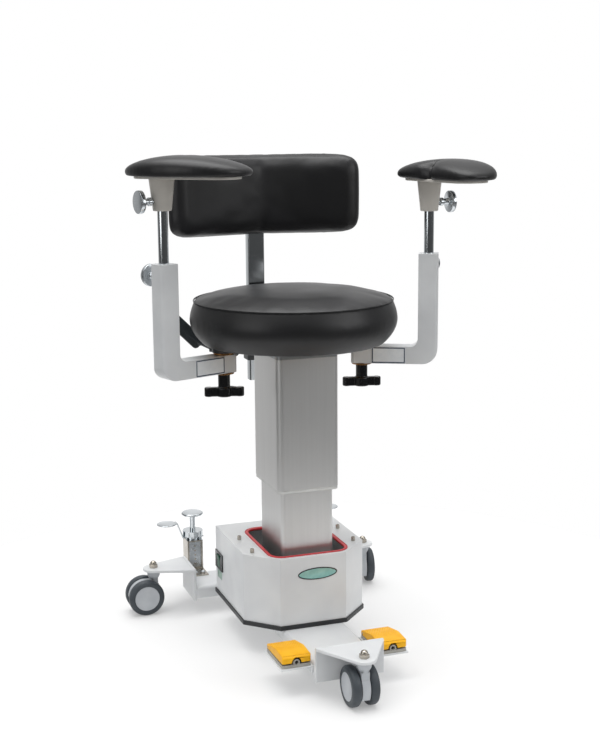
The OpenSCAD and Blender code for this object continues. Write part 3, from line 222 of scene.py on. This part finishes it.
# Printed polycarbonate, glossy: a pale field in a near-black rim.
badge_rim_ink = finish("badge_rim_ink", ("#23282e", "#1c2026"), 20, (0.18, 0.25), 2, 0.003, {"IOR": 1.58})
badge_field = finish("badge_field", ("#93c2bb", "#84b5ae"), 12, (0.15, 0.22), 2, 0.003, {"IOR": 1.58})
badge.data.materials.append(badge_rim_ink)
badge.data.materials.append(badge_field)
round_edges(badge, 0.25)
dress(badge, "chassis", badge_rim_ink, "black_plastic")


# Power switch on the left wall: a black ABS bezel with a green rocker, and a
# small blank label stuck under it.

# Injection moulded ABS, gloss black.
black_abs = finish("black_abs", ("#17181a", "#101113"), 30, (0.12, 0.2), 1.2, 0.004, {"IOR": 1.53})
soften("switch_bezel", 0.6, black_abs, "black_plastic")

# Translucent green polycarbonate with a lamp behind it.
green_lens = finish("green_lens", ("#0a4a34", "#083d2b"), 8, (0.3, 0.4), 1.5, 0.004,
                    {"IOR": 1.58, "Emission Color": linear("#18c07c"), "Emission Strength": 0.02})
soften("power_rocker", 0.5, green_lens, "rocker_green")

label_width, label_height, label_thickness, label_corner, label_drop = 30, 17, 0.3, 2, 12
bezel_low, bezel_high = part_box("switch_bezel")
bm = bmesh.new()
bmesh.ops.create_grid(bm, x_segments=1, y_segments=1, size=0.5)
bmesh.ops.scale(bm, vec=(label_width / 1000, label_height / 1000, 1), verts=bm.verts)
bmesh.ops.bevel(bm, geom=bm.verts[:], affect="VERTICES", offset=label_corner / 1000, segments=4,
                profile=0.5, material=-1)
bmesh.ops.solidify(bm, geom=bm.faces[:], thickness=-label_thickness / 1000)
middle = (cover_low.x, (bezel_low.y + bezel_high.y) / 2, bezel_low.z - label_drop / 1000)
stand = Matrix.Translation(middle) @ Matrix.Rotation(-pi / 2, 4, "Z") @ Matrix.Rotation(pi / 2, 4, "X")
bmesh.ops.transform(bm, matrix=stand, verts=bm.verts)
bmesh.ops.recalc_face_normals(bm, faces=bm.faces)
switch_label = piece("switch_label", bm)
# Matt vinyl film, pale green.
label_film = finish("label_film", ("#a9bfb4", "#9db5aa"), 10, (0.4, 0.5), 1.5, 0.004, {"IOR": 1.5})
dress(switch_label, "chassis", label_film, "white_paint")


# Column: two extruded aluminium profiles that slide in each other, with a
# plastic glide between them and a machined head plate on top.

# Natural anodised aluminium: a fine vertical grain left by the die, drawn at 0.8 mm.
anodised = finish("anodised_aluminium", ("#dededd", "#dbdbda"), 6, (0.38, 0.4), 0.8, 0.0004,
                  {"Metallic": 1}, stretch=(1, 1, 0.02))
soften("outer_column", 0.3, anodised, "column_aluminium")
soften("inner_column", 0.3, anodised, "column_aluminium")

# Moulded acetal, light grey and waxy.
acetal = finish("light_grey_acetal", ("#d5d6d4", "#c9cac8"), 25, (0.35, 0.45), 1.5, 0.01, {"IOR": 1.48})
soften("column_lip", 0.8, acetal, "glide_plastic")

# Machined aluminium with fine cutter marks.
machined = finish("machined_aluminium", ("#b4b7b9", "#a7aaac"), 10, (0.3, 0.4), 0.6, 0.01, {"Metallic": 1})
soften("column_head", 0.5, machined, "head_aluminium")
soften("lift_drive", 1, machined, "head_aluminium")


# Casters: twin wheels on a nylon fork whose fender stands between them, each
# bolted to its plate with a plated acorn nut.

def on_joint(name):
    """The place of a joint, with Z along its axis."""
    axis = Vector(joints[name]["axis"])
    return Matrix.Translation(joints[name]["pos_m"]) @ axis.to_track_quat("Z", "Y").to_matrix().to_4x4()


def turn(bm, profile, place, steps=72):
    """Spins a profile of (radius, height) in mm about Z and sets it in place."""
    made = bmesh.new()
    points = [made.verts.new((r / 1000, 0, z / 1000)) for r, z in profile]
    edges = [made.edges.new(pair) for pair in zip(points, points[1:])]
    bmesh.ops.spin(made, geom=points + edges, cent=(0, 0, 0), axis=(0, 0, 1), angle=2 * pi, steps=steps,
                   use_merge=True)
    bmesh.ops.remove_doubles(made, verts=made.verts, dist=1e-6)
    bmesh.ops.transform(made, matrix=place, verts=made.verts)
    bmesh.ops.recalc_face_normals(made, faces=made.faces)
    spun = bpy.data.meshes.new("spun")
    made.to_mesh(spun)
    made.free()
    bm.from_mesh(spun)
    bpy.data.meshes.remove(spun)


# Sections of one tyre and one hub: radius, and distance from the fork's middle
tyre_profile = [(26, 9), (33.5, 9), (35.8, 10), (37.1, 11.8), (37.5, 14), (37.5, 20.4), (37.1, 22.4),
                (35.9, 24.2), (33.6, 25.6), (33.3, 25.4), (32.8, 25.9), (30, 26), (26, 26), (26, 9)]
hub_profile = [(0, 25.3), (23.5, 25.3), (24.6, 25.7), (25.9, 25.7), (25.9, 9.2), (4.05, 9.2),
               (4.05, 22.9), (0, 22.9)]

# Grey thermoplastic rubber, moulded: satin, and rubbed a little paler in patches.
tyre_rubber = finish("slate_tyre_rubber", ("#3e454b", "#353b41"), 30, (0.42, 0.55), 1.6, 0.03, {"IOR": 1.5})
# Moulded nylon, light grey.
grey_nylon = finish("light_grey_nylon", ("#b9bdc1", "#aeb2b7"), 35, (0.36, 0.46), 1.4, 0.015, {"IOR": 1.53})

for place in ("front", "left", "right"):
    soften("fork_" + place, 1, grey_nylon, "caster_grey")
    for name, profile, material, slot in (("tyres_", tyre_profile, tyre_rubber, "tyre_slate"),
                                          ("hubs_", hub_profile, grey_nylon, "caster_grey")):
        bm = bmesh.new()
        axle = on_joint(f"wheels_{place}_roll")
        for side in (0, pi):
            turn(bm, profile, axle @ Matrix.Rotation(side, 4, "X"))
        wheels = piece(name + place + "_finished", bm)
        round_edges(wheels, 0.25, 40, 2)
        dress(wheels, "wheels_" + place, material, slot, name + place)

nut_across, nut_height, shank_length = 16.5, 7, 31.2
nut_corner = nut_across / sqrt(3) / 1000
plate_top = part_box("caster_plates")[1].z
bm = bmesh.new()
for place in ("front", "left", "right"):
    x, y, _ = joints[f"caster_{place}_swivel"]["pos_m"]
    stand = Matrix.Translation((x, y, plate_top))
    bmesh.ops.create_cone(bm, cap_ends=True, segments=6, radius1=nut_corner, radius2=nut_corner,
                          depth=nut_height / 1000,
                          matrix=stand @ Matrix.Translation((0, 0, nut_height / 2000)))
    turn(bm, [(0, 14.6), (2, 14.4), (4, 13.5), (5.6, 12), (6.7, 10), (7, 8), (7, 6.5), (0, 6.5)], stand, 48)
    turn(bm, [(0, -shank_length), (5, -shank_length), (5, 0.5), (0, 0.5)], stand, 32)
nuts = piece("caster_bolts_finished", bm)
round_edges(nuts, 0.5, 40)
dress(nuts, "chassis", nickel, "chrome", "caster_bolts")


# Foot switches: a yellow pedal with rows of small grip studs, hinged over a grey
# base with a round cable entry, each on a white bracket beside the beam.

# Moulded ABS, signal yellow, with a fine spark-eroded texture.
yellow_abs = finish("yellow_abs", ("#f2b400", "#ecaa00"), 18, (0.4, 0.5), 2, 0.04,
                    {"IOR": 1.53, "Specular IOR Level": 0.3})
stud_pitch, stud_radius, stud_rise, smooth_front, smooth_side = 5, 1.1, 0.5, 34, 3
for side in ("left", "right"):
    soften("pedal_" + side, 1.2, yellow_abs, "pedal_yellow")
    low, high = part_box("pedal_" + side)
    top = BVHTree.FromBMesh(from_cad("pedal_" + side))
    bm = bmesh.new()
    for row in range(int(((high.y - low.y) * 1000 - smooth_front) / stud_pitch)):
        for column in range(int((high.x - low.x) * 1000 / stud_pitch)):
            x = low.x + (column + 0.5 + row % 2 / 2) * stud_pitch / 1000
            y = low.y + (smooth_front + row * stud_pitch) / 1000
            place, normal, _, _ = top.ray_cast(Vector((x, y, high.z + 0.01)), Vector((0, 0, -1)))
            if place is None or normal.z < 0.5 or x > high.x - smooth_side / 1000:
                continue
            turned = normal.to_track_quat("Z", "Y").to_matrix().to_4x4()
            flat = Matrix.Diagonal((1, 1, stud_rise / stud_radius, 1))
            bmesh.ops.create_icosphere(bm, subdivisions=2, radius=stud_radius / 1000,
                                       matrix=Matrix.Translation(place) @ turned @ flat)
    dress(piece("pedal_studs_" + side, bm), "pedal_" + side, yellow_abs, "pedal_yellow")

# Moulded ABS, warm grey, matt.
grey_abs = finish("warm_grey_abs", ("#a5a29a", "#99968f"), 18, (0.42, 0.52), 1.2, 0.03, {"IOR": 1.53})
soften("pedal_bases", 0.6, grey_abs, "pedal_grey")


# Floor brakes: a steel housing bolted behind the crossbar, with a foot and a
# recess for its screws towards it, and a plunger and a release with foot discs.

# Satin chrome on steel.
satin_steel = finish("satin_steel", ("#c6cacd", "#bbbfc3"), 20, (0.24, 0.32), 1, 0.01, {"Metallic": 1})
# Mirror chrome: cool and almost free of texture.
chrome = finish("mirror_chrome", ("#d3d8db", "#c9ced2"), 60, (0.08, 0.12), 6, 0.001, {"Metallic": 1})

housings = soften("brake_housings", 0.4, satin_steel, "housing_steel")
housings.data.materials.append(nickel)
housings.data.materials.append(chrome)
# The neck is chromed. The foot, and the recess in the front wall with its screws,
# are nickel plated.
foot_top, above_foot, neck_foot, recess_end, recess_start = 0.0625, 0.1, 0.124, 0.0045, 0.0005
wall = min(v.co.y for v in housings.data.vertices if v.co.z > above_foot)
for face in housings.data.polygons:
    middle = face.center
    if middle.z > neck_foot:
        face.material_index = 2
    elif middle.y < wall + recess_end and (middle.z < foot_top or middle.y > wall + recess_start):
        face.material_index = 1
for side in ("left", "right"):
    soften("brake_plunger_" + side, 0.5, chrome, "chrome")
    soften("brake_release_" + side, 0.4, chrome, "chrome")


# Seat frame, clamp and back plate: flame cut and welded steel, painted dark grey.
# The washers at the armrests' pivots are turned brass, and the board under the
# seat's foam is plywood.

# Satin stoving enamel, dark grey.
dark_enamel = finish("dark_grey_enamel", ("#3d4043", "#35383b"), 60, (0.35, 0.45), 2, 0.02, {"IOR": 1.5})
soften("seat_frame", 0.5, dark_enamel, "dark_steel")
soften("back_clamp", 0.6, dark_enamel, "dark_steel")
soften("back_plate", 0.5, dark_enamel, "dark_steel")

# Turned brass, with a faint tarnish.
brass = finish("turned_brass", ("#b98a5c", "#a1754a"), 8, (0.2, 0.34), 0.6, 0.01, {"Metallic": 1})
soften("pivot_washers", 0.4, brass, "brass")

# Birch plywood, unfinished, with its grain along the board.
plywood = finish("birch_plywood", ("#c9a875", "#b8935f"), 14, (0.5, 0.62), 1.2, 0.05, {"IOR": 1.5},
                 stretch=(1, 0.12, 1))
soften("seat_board", 0.5, plywood, "plywood")


# Seat cushion: moulded foam on the board under black upholstery leather, a
# side panel and a round top panel sewn together with a fine welt.

def shaped(obj):
    """Fixes what a piece's modifiers make of it as its own mesh."""
    bpy.context.view_layer.update()
    made = bpy.data.meshes.new_from_object(obj.evaluated_get(bpy.context.evaluated_depsgraph_get()))
    obj.modifiers.clear()
    obj.data = made
    return obj


def iron(bm, verts, passes):
    """Smooths a cover's small creases."""
    for _ in range(passes):
        bmesh.ops.smooth_vert(bm, verts=verts, factor=0.5, use_axis_x=True, use_axis_y=True,
                              use_axis_z=True)


def stuff(obj, held, cap, pressure, ironed):
    """Swells a cover by cloth simulation. The vertices that held accepts stay, no
    point moves further than cap mm, and the rest is ironed in so many passes."""
    rest = [v.co.copy() for v in obj.data.vertices]
    group = obj.vertex_groups.new(name="held")
    group.add([v.index for v in obj.data.vertices if held(v.co)], 1, "REPLACE")
    cloth = obj.modifiers.new("stuffing", "CLOTH")
    cloth.settings.quality = 6
    cloth.settings.tension_stiffness = 40
    cloth.settings.compression_stiffness = 40
    cloth.settings.bending_stiffness = 8
    cloth.settings.use_pressure = True
    cloth.settings.uniform_pressure_force = pressure
    cloth.settings.vertex_group_mass = "held"
    cloth.settings.effector_weights.gravity = 0
    cloth.collision_settings.use_collision = False
    for step in range(1, 21):
        bpy.context.scene.frame_set(step)
    shaped(obj)
    bpy.context.scene.frame_set(1)
    for vertex, start in zip(obj.data.vertices, rest):
        move = vertex.co - start
        if move.length > cap / 1000:
            vertex.co = start + move * (cap / 1000 / move.length)
    obj.vertex_groups.clear()
    bm = bmesh.new()
    bm.from_mesh(obj.data)
    iron(bm, [v for v in bm.verts if not held(v.co)], ironed)
    bm.to_mesh(obj.data)
    bm.free()


def fill_space(obj, node):
    """Scales a cover to the box that its CAD solid fills."""
    points = [v.co for v in obj.data.vertices]
    for axis, (low, high) in enumerate(zip(*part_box(node))):
        least, most = min(p[axis] for p in points), max(p[axis] for p in points)
        for p in points:
            p[axis] = low + (p[axis] - least) * (high - low) / (most - least)


def cut_cover(obj, slack, voxel):
    """Makes a form's surface an even net of voxel mm, drawn in by slack mm."""
    remesh = obj.modifiers.new("even_faces", "REMESH")
    remesh.mode = "VOXEL"
    remesh.voxel_size = voxel / 1000
    shaped(obj)
    bm = bmesh.new()
    bm.from_mesh(obj.data)
    iron(bm, bm.verts, 2)
    bm.normal_update()
    for vertex in bm.verts:
        vertex.co -= vertex.normal * slack / 1000
    bm.to_mesh(obj.data)
    bm.free()
    obj.data.shade_smooth()
    return obj


def subdivide(obj):
    """Adds one level of smooth subdivision to a cover."""
    smooth = obj.modifiers.new("smooth_cover", "SUBSURF")
    smooth.levels = 1
    smooth.render_levels = 1


# Polyurethane-coated leather: near black, a soft sheen, and a fine pebble grain
# drawn at 1.6 mm.
black_leather = finish("black_upholstery_leather", ("#1d1d1f", "#161617"), 110, (0.37, 0.45), 1.6, 0.06,
                       {"IOR": 1.45})

cushion_low, cushion_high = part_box("seat_cushion")
seat_middle = (cushion_low.xy + cushion_high.xy) / 2
seat_z = cushion_low.z * 1000
# Radii, and heights above the cushion's lower rim
seat_radius, rim_radius, seam_radius, pocket_radius = 200, 172, 190, 165.3
seam_rise, bulge_rise, seat_rise, pocket_rise, rim_rise, slack = 82, 47, 103, 16.4, 0.5, 2
side_steps, top_steps, side_fullness, top_fullness = 14, 25, 0.9, 0.66
rim_band, seam_band, seam_depth = 4, 3.2, 8
profile = [(0, seat_z + pocket_rise), (pocket_radius, seat_z + pocket_rise),
           (pocket_radius, seat_z + rim_rise)]
for i in range(side_steps + 1):
    s = i / side_steps
    b = bulge_rise / seam_rise
    if s < b:
        r = rim_radius + (seat_radius - rim_radius) * sin(pi / 2 * s / b) ** side_fullness
    else:
        r = seat_radius - (seat_radius - seam_radius) * (1 - cos(pi / 2 * (s - b) / (1 - b)))
    profile.append((r - slack, seat_z + rim_rise + (seam_rise - rim_rise) * s))
for i in range(1, top_steps + 1):
    a = pi / 2 * i / top_steps
    crown = (seat_rise - seam_rise - slack) * sin(a) ** top_fullness
    profile.append((max((seam_radius - slack) * cos(a), 0), seat_z + seam_rise + crown))
stand = Matrix.Translation(seat_middle.to_3d())
bm = bmesh.new()
turn(bm, profile, stand, 108)


def sewn(co):
    """True for a point of the seat's cover at the rim on the board or at the seam."""
    rise = co.z * 1000 - seat_z
    at_edge = (co.xy - seat_middle).length * 1000 > seam_radius - seam_depth
    return rise < rim_band or (at_edge and abs(rise - seam_rise) < seam_band)


seat = cut_cover(piece("seat_cover", bm), slack=0, voxel=5)
stuff(seat, sewn, cap=4, pressure=4, ironed=14)
fill_space(seat, "seat_cushion")
subdivide(seat)
dress(seat, "seat", black_leather, "black_leather", "seat_cushion")

# Bonded polyester thread, matt black, sunk in the seam under the welt. Its colour is partly the thread's
# own and partly painted shade: it is made darker and duller than the leather so the seam's groove reads as
# a dark line.
seam_thread_and_shade = finish("seam_thread_painted_shade", ("#0d0d0e", "#080809"), 6, (0.7, 0.8), 1.2, 0.05, {"IOR": 1.5})
seam = [v.co for v in seat.data.vertices if abs(v.co.z * 1000 - seat_z - seam_rise) < 2.5]
sewn_radius = max((co.xy - seat_middle).length for co in seam) * 1000
# The welt is the seat's leather. The stitching ring below it carries painted shade for the seam's groove.
for name, out, rise, radius, cover in (("seat_welt", 0.4, 1.0, 1.1, black_leather),
                                       ("seat_stitching_and_seam_shade", 0.5, -0.7, 0.6, seam_thread_and_shade)):
    bm = bmesh.new()
    ring = [(sewn_radius + out + radius * cos(a), seat_z + seam_rise + rise + radius * sin(a))
            for a in (2 * pi * i / 10 for i in range(11))]
    turn(bm, ring, stand, 144)
    dress(piece(name, bm), "seat", cover, "black_leather")


# Backrest: a curved foam pad in the same leather on a bent plate, carried by a
# chromed steel bar that slides in the clamp and is held by a black knob.

def cover_of(node, slack, voxel):
    """The cover of a CAD cushion."""
    bm = bmesh.new()
    bm.from_mesh(nodes[node].data)
    bmesh.ops.remove_doubles(bm, verts=bm.verts, dist=2e-6)
    return cut_cover(piece(node + "_cover", bm), slack, voxel)


back_radius, back_thickness, back_edge = 344, 38, 6
back_far = (back_radius + back_thickness) / 1000
back_centre = Vector((seat_middle.x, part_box("back_cushion")[1].y - back_far))
back = cover_of("back_cushion", slack=1.5, voxel=5)
stuff(back, lambda co: (co.xy - back_centre).length > back_far - back_edge / 1000,
      cap=5, pressure=4, ironed=2)
fill_space(back, "back_cushion")
subdivide(back)
dress(back, "backrest", black_leather, "black_leather", "back_cushion")

soften("back_bar", 0.4, chrome, "chrome")


# Clamping knobs: turned and chromed on the armrests, a black one on the back
# clamp, and two black T-shaped ones under the armrests' pivots.

def round_knob(name, stud, neck, material, slot):
    """A round clamping knob on its joint's axis: a stud that starts stud mm out,
    and a stepped neck and a head that start neck mm out."""
    head = [(7.2, 1.6), (7.9, 2.4), (7.9, 7.4), (7.2, 8.2), (6.2, 8.6), (6.2, 17), (7.4, 19), (9.5, 20),
            (19.4, 20), (20.6, 20.5), (21, 21.6), (21, 27.4), (20.6, 28.5), (19.4, 29), (0, 29)]
    bm = bmesh.new()
    turn(bm, [(0, stud), (4, stud), (4, neck + 1.6)] + [(r, neck + z) for r, z in head],
         on_joint(name + "_turn"))
    knob = piece(name + "_finished", bm)
    round_edges(knob, 0.3, 35, 2)
    dress(knob, name, material, slot, name)


# Chrome plated on a turned surface: it mirrors softly.
soft_chrome = finish("soft_chrome", ("#d3d8dc", "#c9ced2"), 25, (0.2, 0.28), 0.8, 0.004, {"Metallic": 1})
for side in ("left", "right"):
    round_knob("rod_knob_" + side, stud=9.8, neck=18.3, material=soft_chrome, slot="chrome")
    round_knob("pad_knob_" + side, stud=9.8, neck=20.1, material=soft_chrome, slot="chrome")
round_knob("back_knob", stud=0.3, neck=6.3, material=black_abs, slot="black_plastic")
for side in ("left", "right"):
    soften("arm_knob_" + side, 2.4, black_abs, "black_plastic", 50)


# Armrests: L-shaped beams with the white coat, a chromed height rod in each
# upright, and a tapered socket with its plate that carries the pad.

# Cast zinc with a satin grey-beige paint.
socket_paint = finish("grey_beige_paint", ("#cdc9c2", "#c3bfb8"), 40, (0.32, 0.4), 1.6, 0.015, {"IOR": 1.5})
for side in ("left", "right"):
    soften("arm_" + side, 0.6, white_coat, "white_paint")
    soften("rod_" + side, 0.8, chrome, "chrome")
    soften("pad_socket_" + side, 1.2, socket_paint, "socket_steel")

# Printed polycarbonate film, silver grey with a dark blue border line; it is blank.
plate_film = finish("silver_grey_film", ("#e8ebed", "#e1e5e8"), 12, (0.32, 0.4), 0.8, 0.006, {"IOR": 1.58})
plate_ink = finish("border_ink", ("#1c3350", "#172b45"), 12, (0.3, 0.4), 1.5, 0.004, {"IOR": 1.5})
plate_length, plate_height, plate_thickness, plate_edge, plate_border = 65, 31, 0.6, 0.3, 2.9
arm_half_width, arm_half_height = 18, 17
# Each plate starts near mm from its arm's pivot, and its arm is turned angle
# degrees ahead of straight sideways
for side, mirror, near, angle in (("left", -1, 11.5, 20), ("right", 1, 21.5, 27)):
    bm = bmesh.new()
    bmesh.ops.create_grid(bm, x_segments=1, y_segments=1, size=0.5)
    bmesh.ops.scale(bm, vec=(plate_length / 1000, plate_height / 1000, 1), verts=bm.verts)
    thicken(bm, plate_thickness)
    top = [face for face in bm.faces if face.normal.z > 0.9]
    bmesh.ops.inset_region(bm, faces=top, thickness=plate_edge / 1000)
    rim = bmesh.ops.inset_region(bm, faces=top, thickness=plate_border / 1000)
    for face in rim["faces"]:
        face.material_index = 1
    pivot = Vector(joints[f"arm_{side}_swing"]["pos_m"])
    along = Vector((mirror * cos(radians(angle)), -sin(radians(angle)), 0))
    out = Vector((-mirror * sin(radians(angle)), -cos(radians(angle)), 0))
    upward = Vector((0, 0, 1))
    shift = along * (near + plate_length / 2) + out * arm_half_width + upward * arm_half_height
    stand = Matrix((upward.cross(out), upward, out)).transposed().to_4x4()
    bmesh.ops.transform(bm, matrix=Matrix.Translation(pivot + shift / 1000) @ stand, verts=bm.verts)
    name_plate = piece("arm_plate_" + side, bm)
    name_plate.data.materials.append(plate_film)
    name_plate.data.materials.append(plate_ink)
    dress(name_plate, "arm_" + side, plate_film, "housing_steel")


# Arm pads: kidney-shaped foam on the socket's plate under the same leather, which
# is gathered to a crease where the shape turns in.

# Half of a pad's length, and where its middle is from its rod
pad_half_length, pad_out, pad_ahead = 121, 7, 53
crease_width, dip_width, crown, thinning, pad_edge = 5.5, 18, 0.16, 0.3, 0.004


def gather(obj, origin, out, along, base):
    """Draws a crease into a pad's inner side, crowns its middle and thins its two
    ends above the height base. Out and along are the pad's own axes."""
    for vertex in obj.data.vertices:
        spot = (vertex.co - origin) * 1000
        inward = pad_out - spot.dot(out)
        ahead = spot.dot(along) - pad_ahead
        share = min(max((inward + 12) / 60, 0), 1)
        fold = share * exp(-((ahead / crease_width) ** 2))
        dip = share ** 3 * exp(-((ahead / dip_width) ** 2))
        vertex.co.z -= (2.2 * fold + 2 * dip) / 1000
        reach = min((ahead / pad_half_length) ** 2, 1)
        vertex.co.z += (vertex.co.z - base) * (crown * (1 - reach) - thinning * reach)
        vertex.co += out * (3.5 * fold + 9 * dip) * share / 1000


for side, mirror, turned in (("left", -1, radians(46)), ("right", 1, radians(10))):
    pad_low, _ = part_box("arm_pad_" + side)
    pad = cover_of("arm_pad_" + side, slack=1.6, voxel=4)
    stuff(pad, lambda co: co.z < pad_low.z + pad_edge, cap=4, pressure=4, ironed=2)
    fill_space(pad, "arm_pad_" + side)
    out = mirror * Vector((cos(turned), sin(turned), 0))
    along = Vector((sin(turned), -cos(turned), 0))
    gather(pad, Vector(joints[f"pad_{side}_swivel"]["pos_m"]), out, along, pad_low.z)
    subdivide(pad)
    dress(pad, "pad_" + side, black_leather, "black_leather", "arm_pad_" + side)


# Seat lever: a bent steel rod with a flat paddle, coated nearly black.

# Polyamide powder dip: charcoal, satin.
charcoal_dip = finish("charcoal_dip_coat", ("#33383c", "#2b3033"), 30, (0.3, 0.4), 2, 0.01, {"IOR": 1.53})
soften("seat_lever", 1.5, charcoal_dip, "black_plastic", 40)


# Studio: a white floor in a white room, a large soft box overhead, one at the
# front right and a small one at the left, and the camera at the photograph's
# place.

bm = bmesh.new()
bmesh.ops.create_circle(bm, cap_ends=True, radius=0.95, segments=96)
floor = piece("studio_floor", bm)
# Matt white floor paint, lit a little from within so that it meets the room
# without an edge.
pale_floor = finish("pale_floor", ("#cacaca", "#c8c8c8"), 900, (0.6, 0.7), 40, 0.1,
                    {"IOR": 1.45, "Emission Color": (1, 1, 1, 1), "Emission Strength": 0.27})
floor.data.materials.append(pale_floor)

for name, place, width, height, power in (
        ("overhead_box", (-0.2, 0.1, 3.0), 2.6, 2.6, 70),
        ("front_right_box", (2.1, -2.3, 1.6), 2.2, 1.6, 29),
        ("left_box", (-2.8, -1.3, 1.3), 1.6, 1.6, 16)):
    lamp = bpy.data.lights.new(name, "AREA")
    lamp.shape = "RECTANGLE"
    lamp.size = width
    lamp.size_y = height
    lamp.energy = power
    lamp_object = bpy.data.objects.new(name, lamp)
    lamp_object.location = place
    lamp_object.rotation_euler = (Vector((0, 0, 0.5)) - Vector(place)).to_track_quat("-Z", "Y").to_euler()
    bpy.context.scene.collection.objects.link(lamp_object)

# The room in the reflections: bright overhead and low behind the stool, and dark
# in front of it, as the dark bands in the chrome show. The camera sees it white.
world = bpy.data.worlds.new("studio_room")
bpy.context.scene.world = world
world.use_nodes = True
tree = world.node_tree
tree.nodes.clear()
spot = add_node(tree, "TexCoord", {})
front = (-0.31, -0.93, 0.1)
toward = add_node(tree, "VectorMath", {0: spot.outputs["Generated"], 1: front}, operation="DOT_PRODUCT")
share = add_node(tree, "MapRange", {"Value": toward.outputs["Value"], "From Min": -1, "From Max": 1})
shade = add_node(tree, "ValToRGB", {"Fac": share.outputs["Result"]})
# Brightness from straight behind the stool, 0, to straight before it, 1
tones = ((0, 1), (0.04, 0.85), (0.12, 0.4), (0.28, 0.36), (0.42, 0.12), (0.55, 0.07))
for place, tone in tones[2:]:
    shade.color_ramp.elements.new(place)
for element, (place, tone) in zip(shade.color_ramp.elements, tones):
    element.position = place
    element.color = (tone, tone, tone, 1)
height = add_node(tree, "SeparateXYZ", {"Vector": spot.outputs["Generated"]})
ceiling = add_node(tree, "MapRange", {"Value": height.outputs["Z"], "From Min": 0.36, "From Max": 0.8,
                                      "To Min": 0.0, "To Max": 1.0})
ground = add_node(tree, "MapRange", {"Value": height.outputs["Z"], "From Min": -0.2, "From Max": -0.5,
                                     "To Min": 0.0, "To Max": 0.3})
either = add_node(tree, "Math", {0: ceiling.outputs["Result"], 1: ground.outputs["Result"]},
                  operation="MAXIMUM")
room = add_node(tree, "Mix", {"Factor": 1.0, "A": shade.outputs["Color"], "B": either.outputs[0]},
                data_type="RGBA", blend_type="LIGHTEN")
lit = add_node(tree, "Background", {"Color": room.outputs["Result"], "Strength": 1.1})
seen = add_node(tree, "Background", {"Color": (1, 1, 1, 1), "Strength": 1})
ray = add_node(tree, "LightPath", {})
mix = add_node(tree, "MixShader", {"Fac": ray.outputs["Is Camera Ray"], 1: lit.outputs[0],
                                   2: seen.outputs[0]})
add_node(tree, "OutputWorld", {"Surface": mix.outputs[0]})
bpy.context.scene.view_settings.view_transform = "Standard"

# The camera's place, direction, roll and lens, solved from the photograph
eye = Vector((-0.83237, -2.36545, 1.0274))
forward = Vector((0.3242, 0.9269, -0.1889)).normalized()
roll = radians(-0.46)
level = forward.cross(Vector((0, 0, 1))).normalized()
raise_up = level.cross(forward)
right = level * cos(roll) + raise_up * sin(roll)
up = raise_up * cos(roll) - level * sin(roll)
camera = bpy.data.objects.new("camera", bpy.data.cameras.new("camera"))
bpy.context.scene.collection.objects.link(camera)
camera.data.sensor_width = 36
camera.data.lens = 64.05
camera.matrix_world = Matrix.Translation(eye) @ Matrix((right, up, -forward)).transposed().to_4x4()
bpy.context.scene.camera = camera
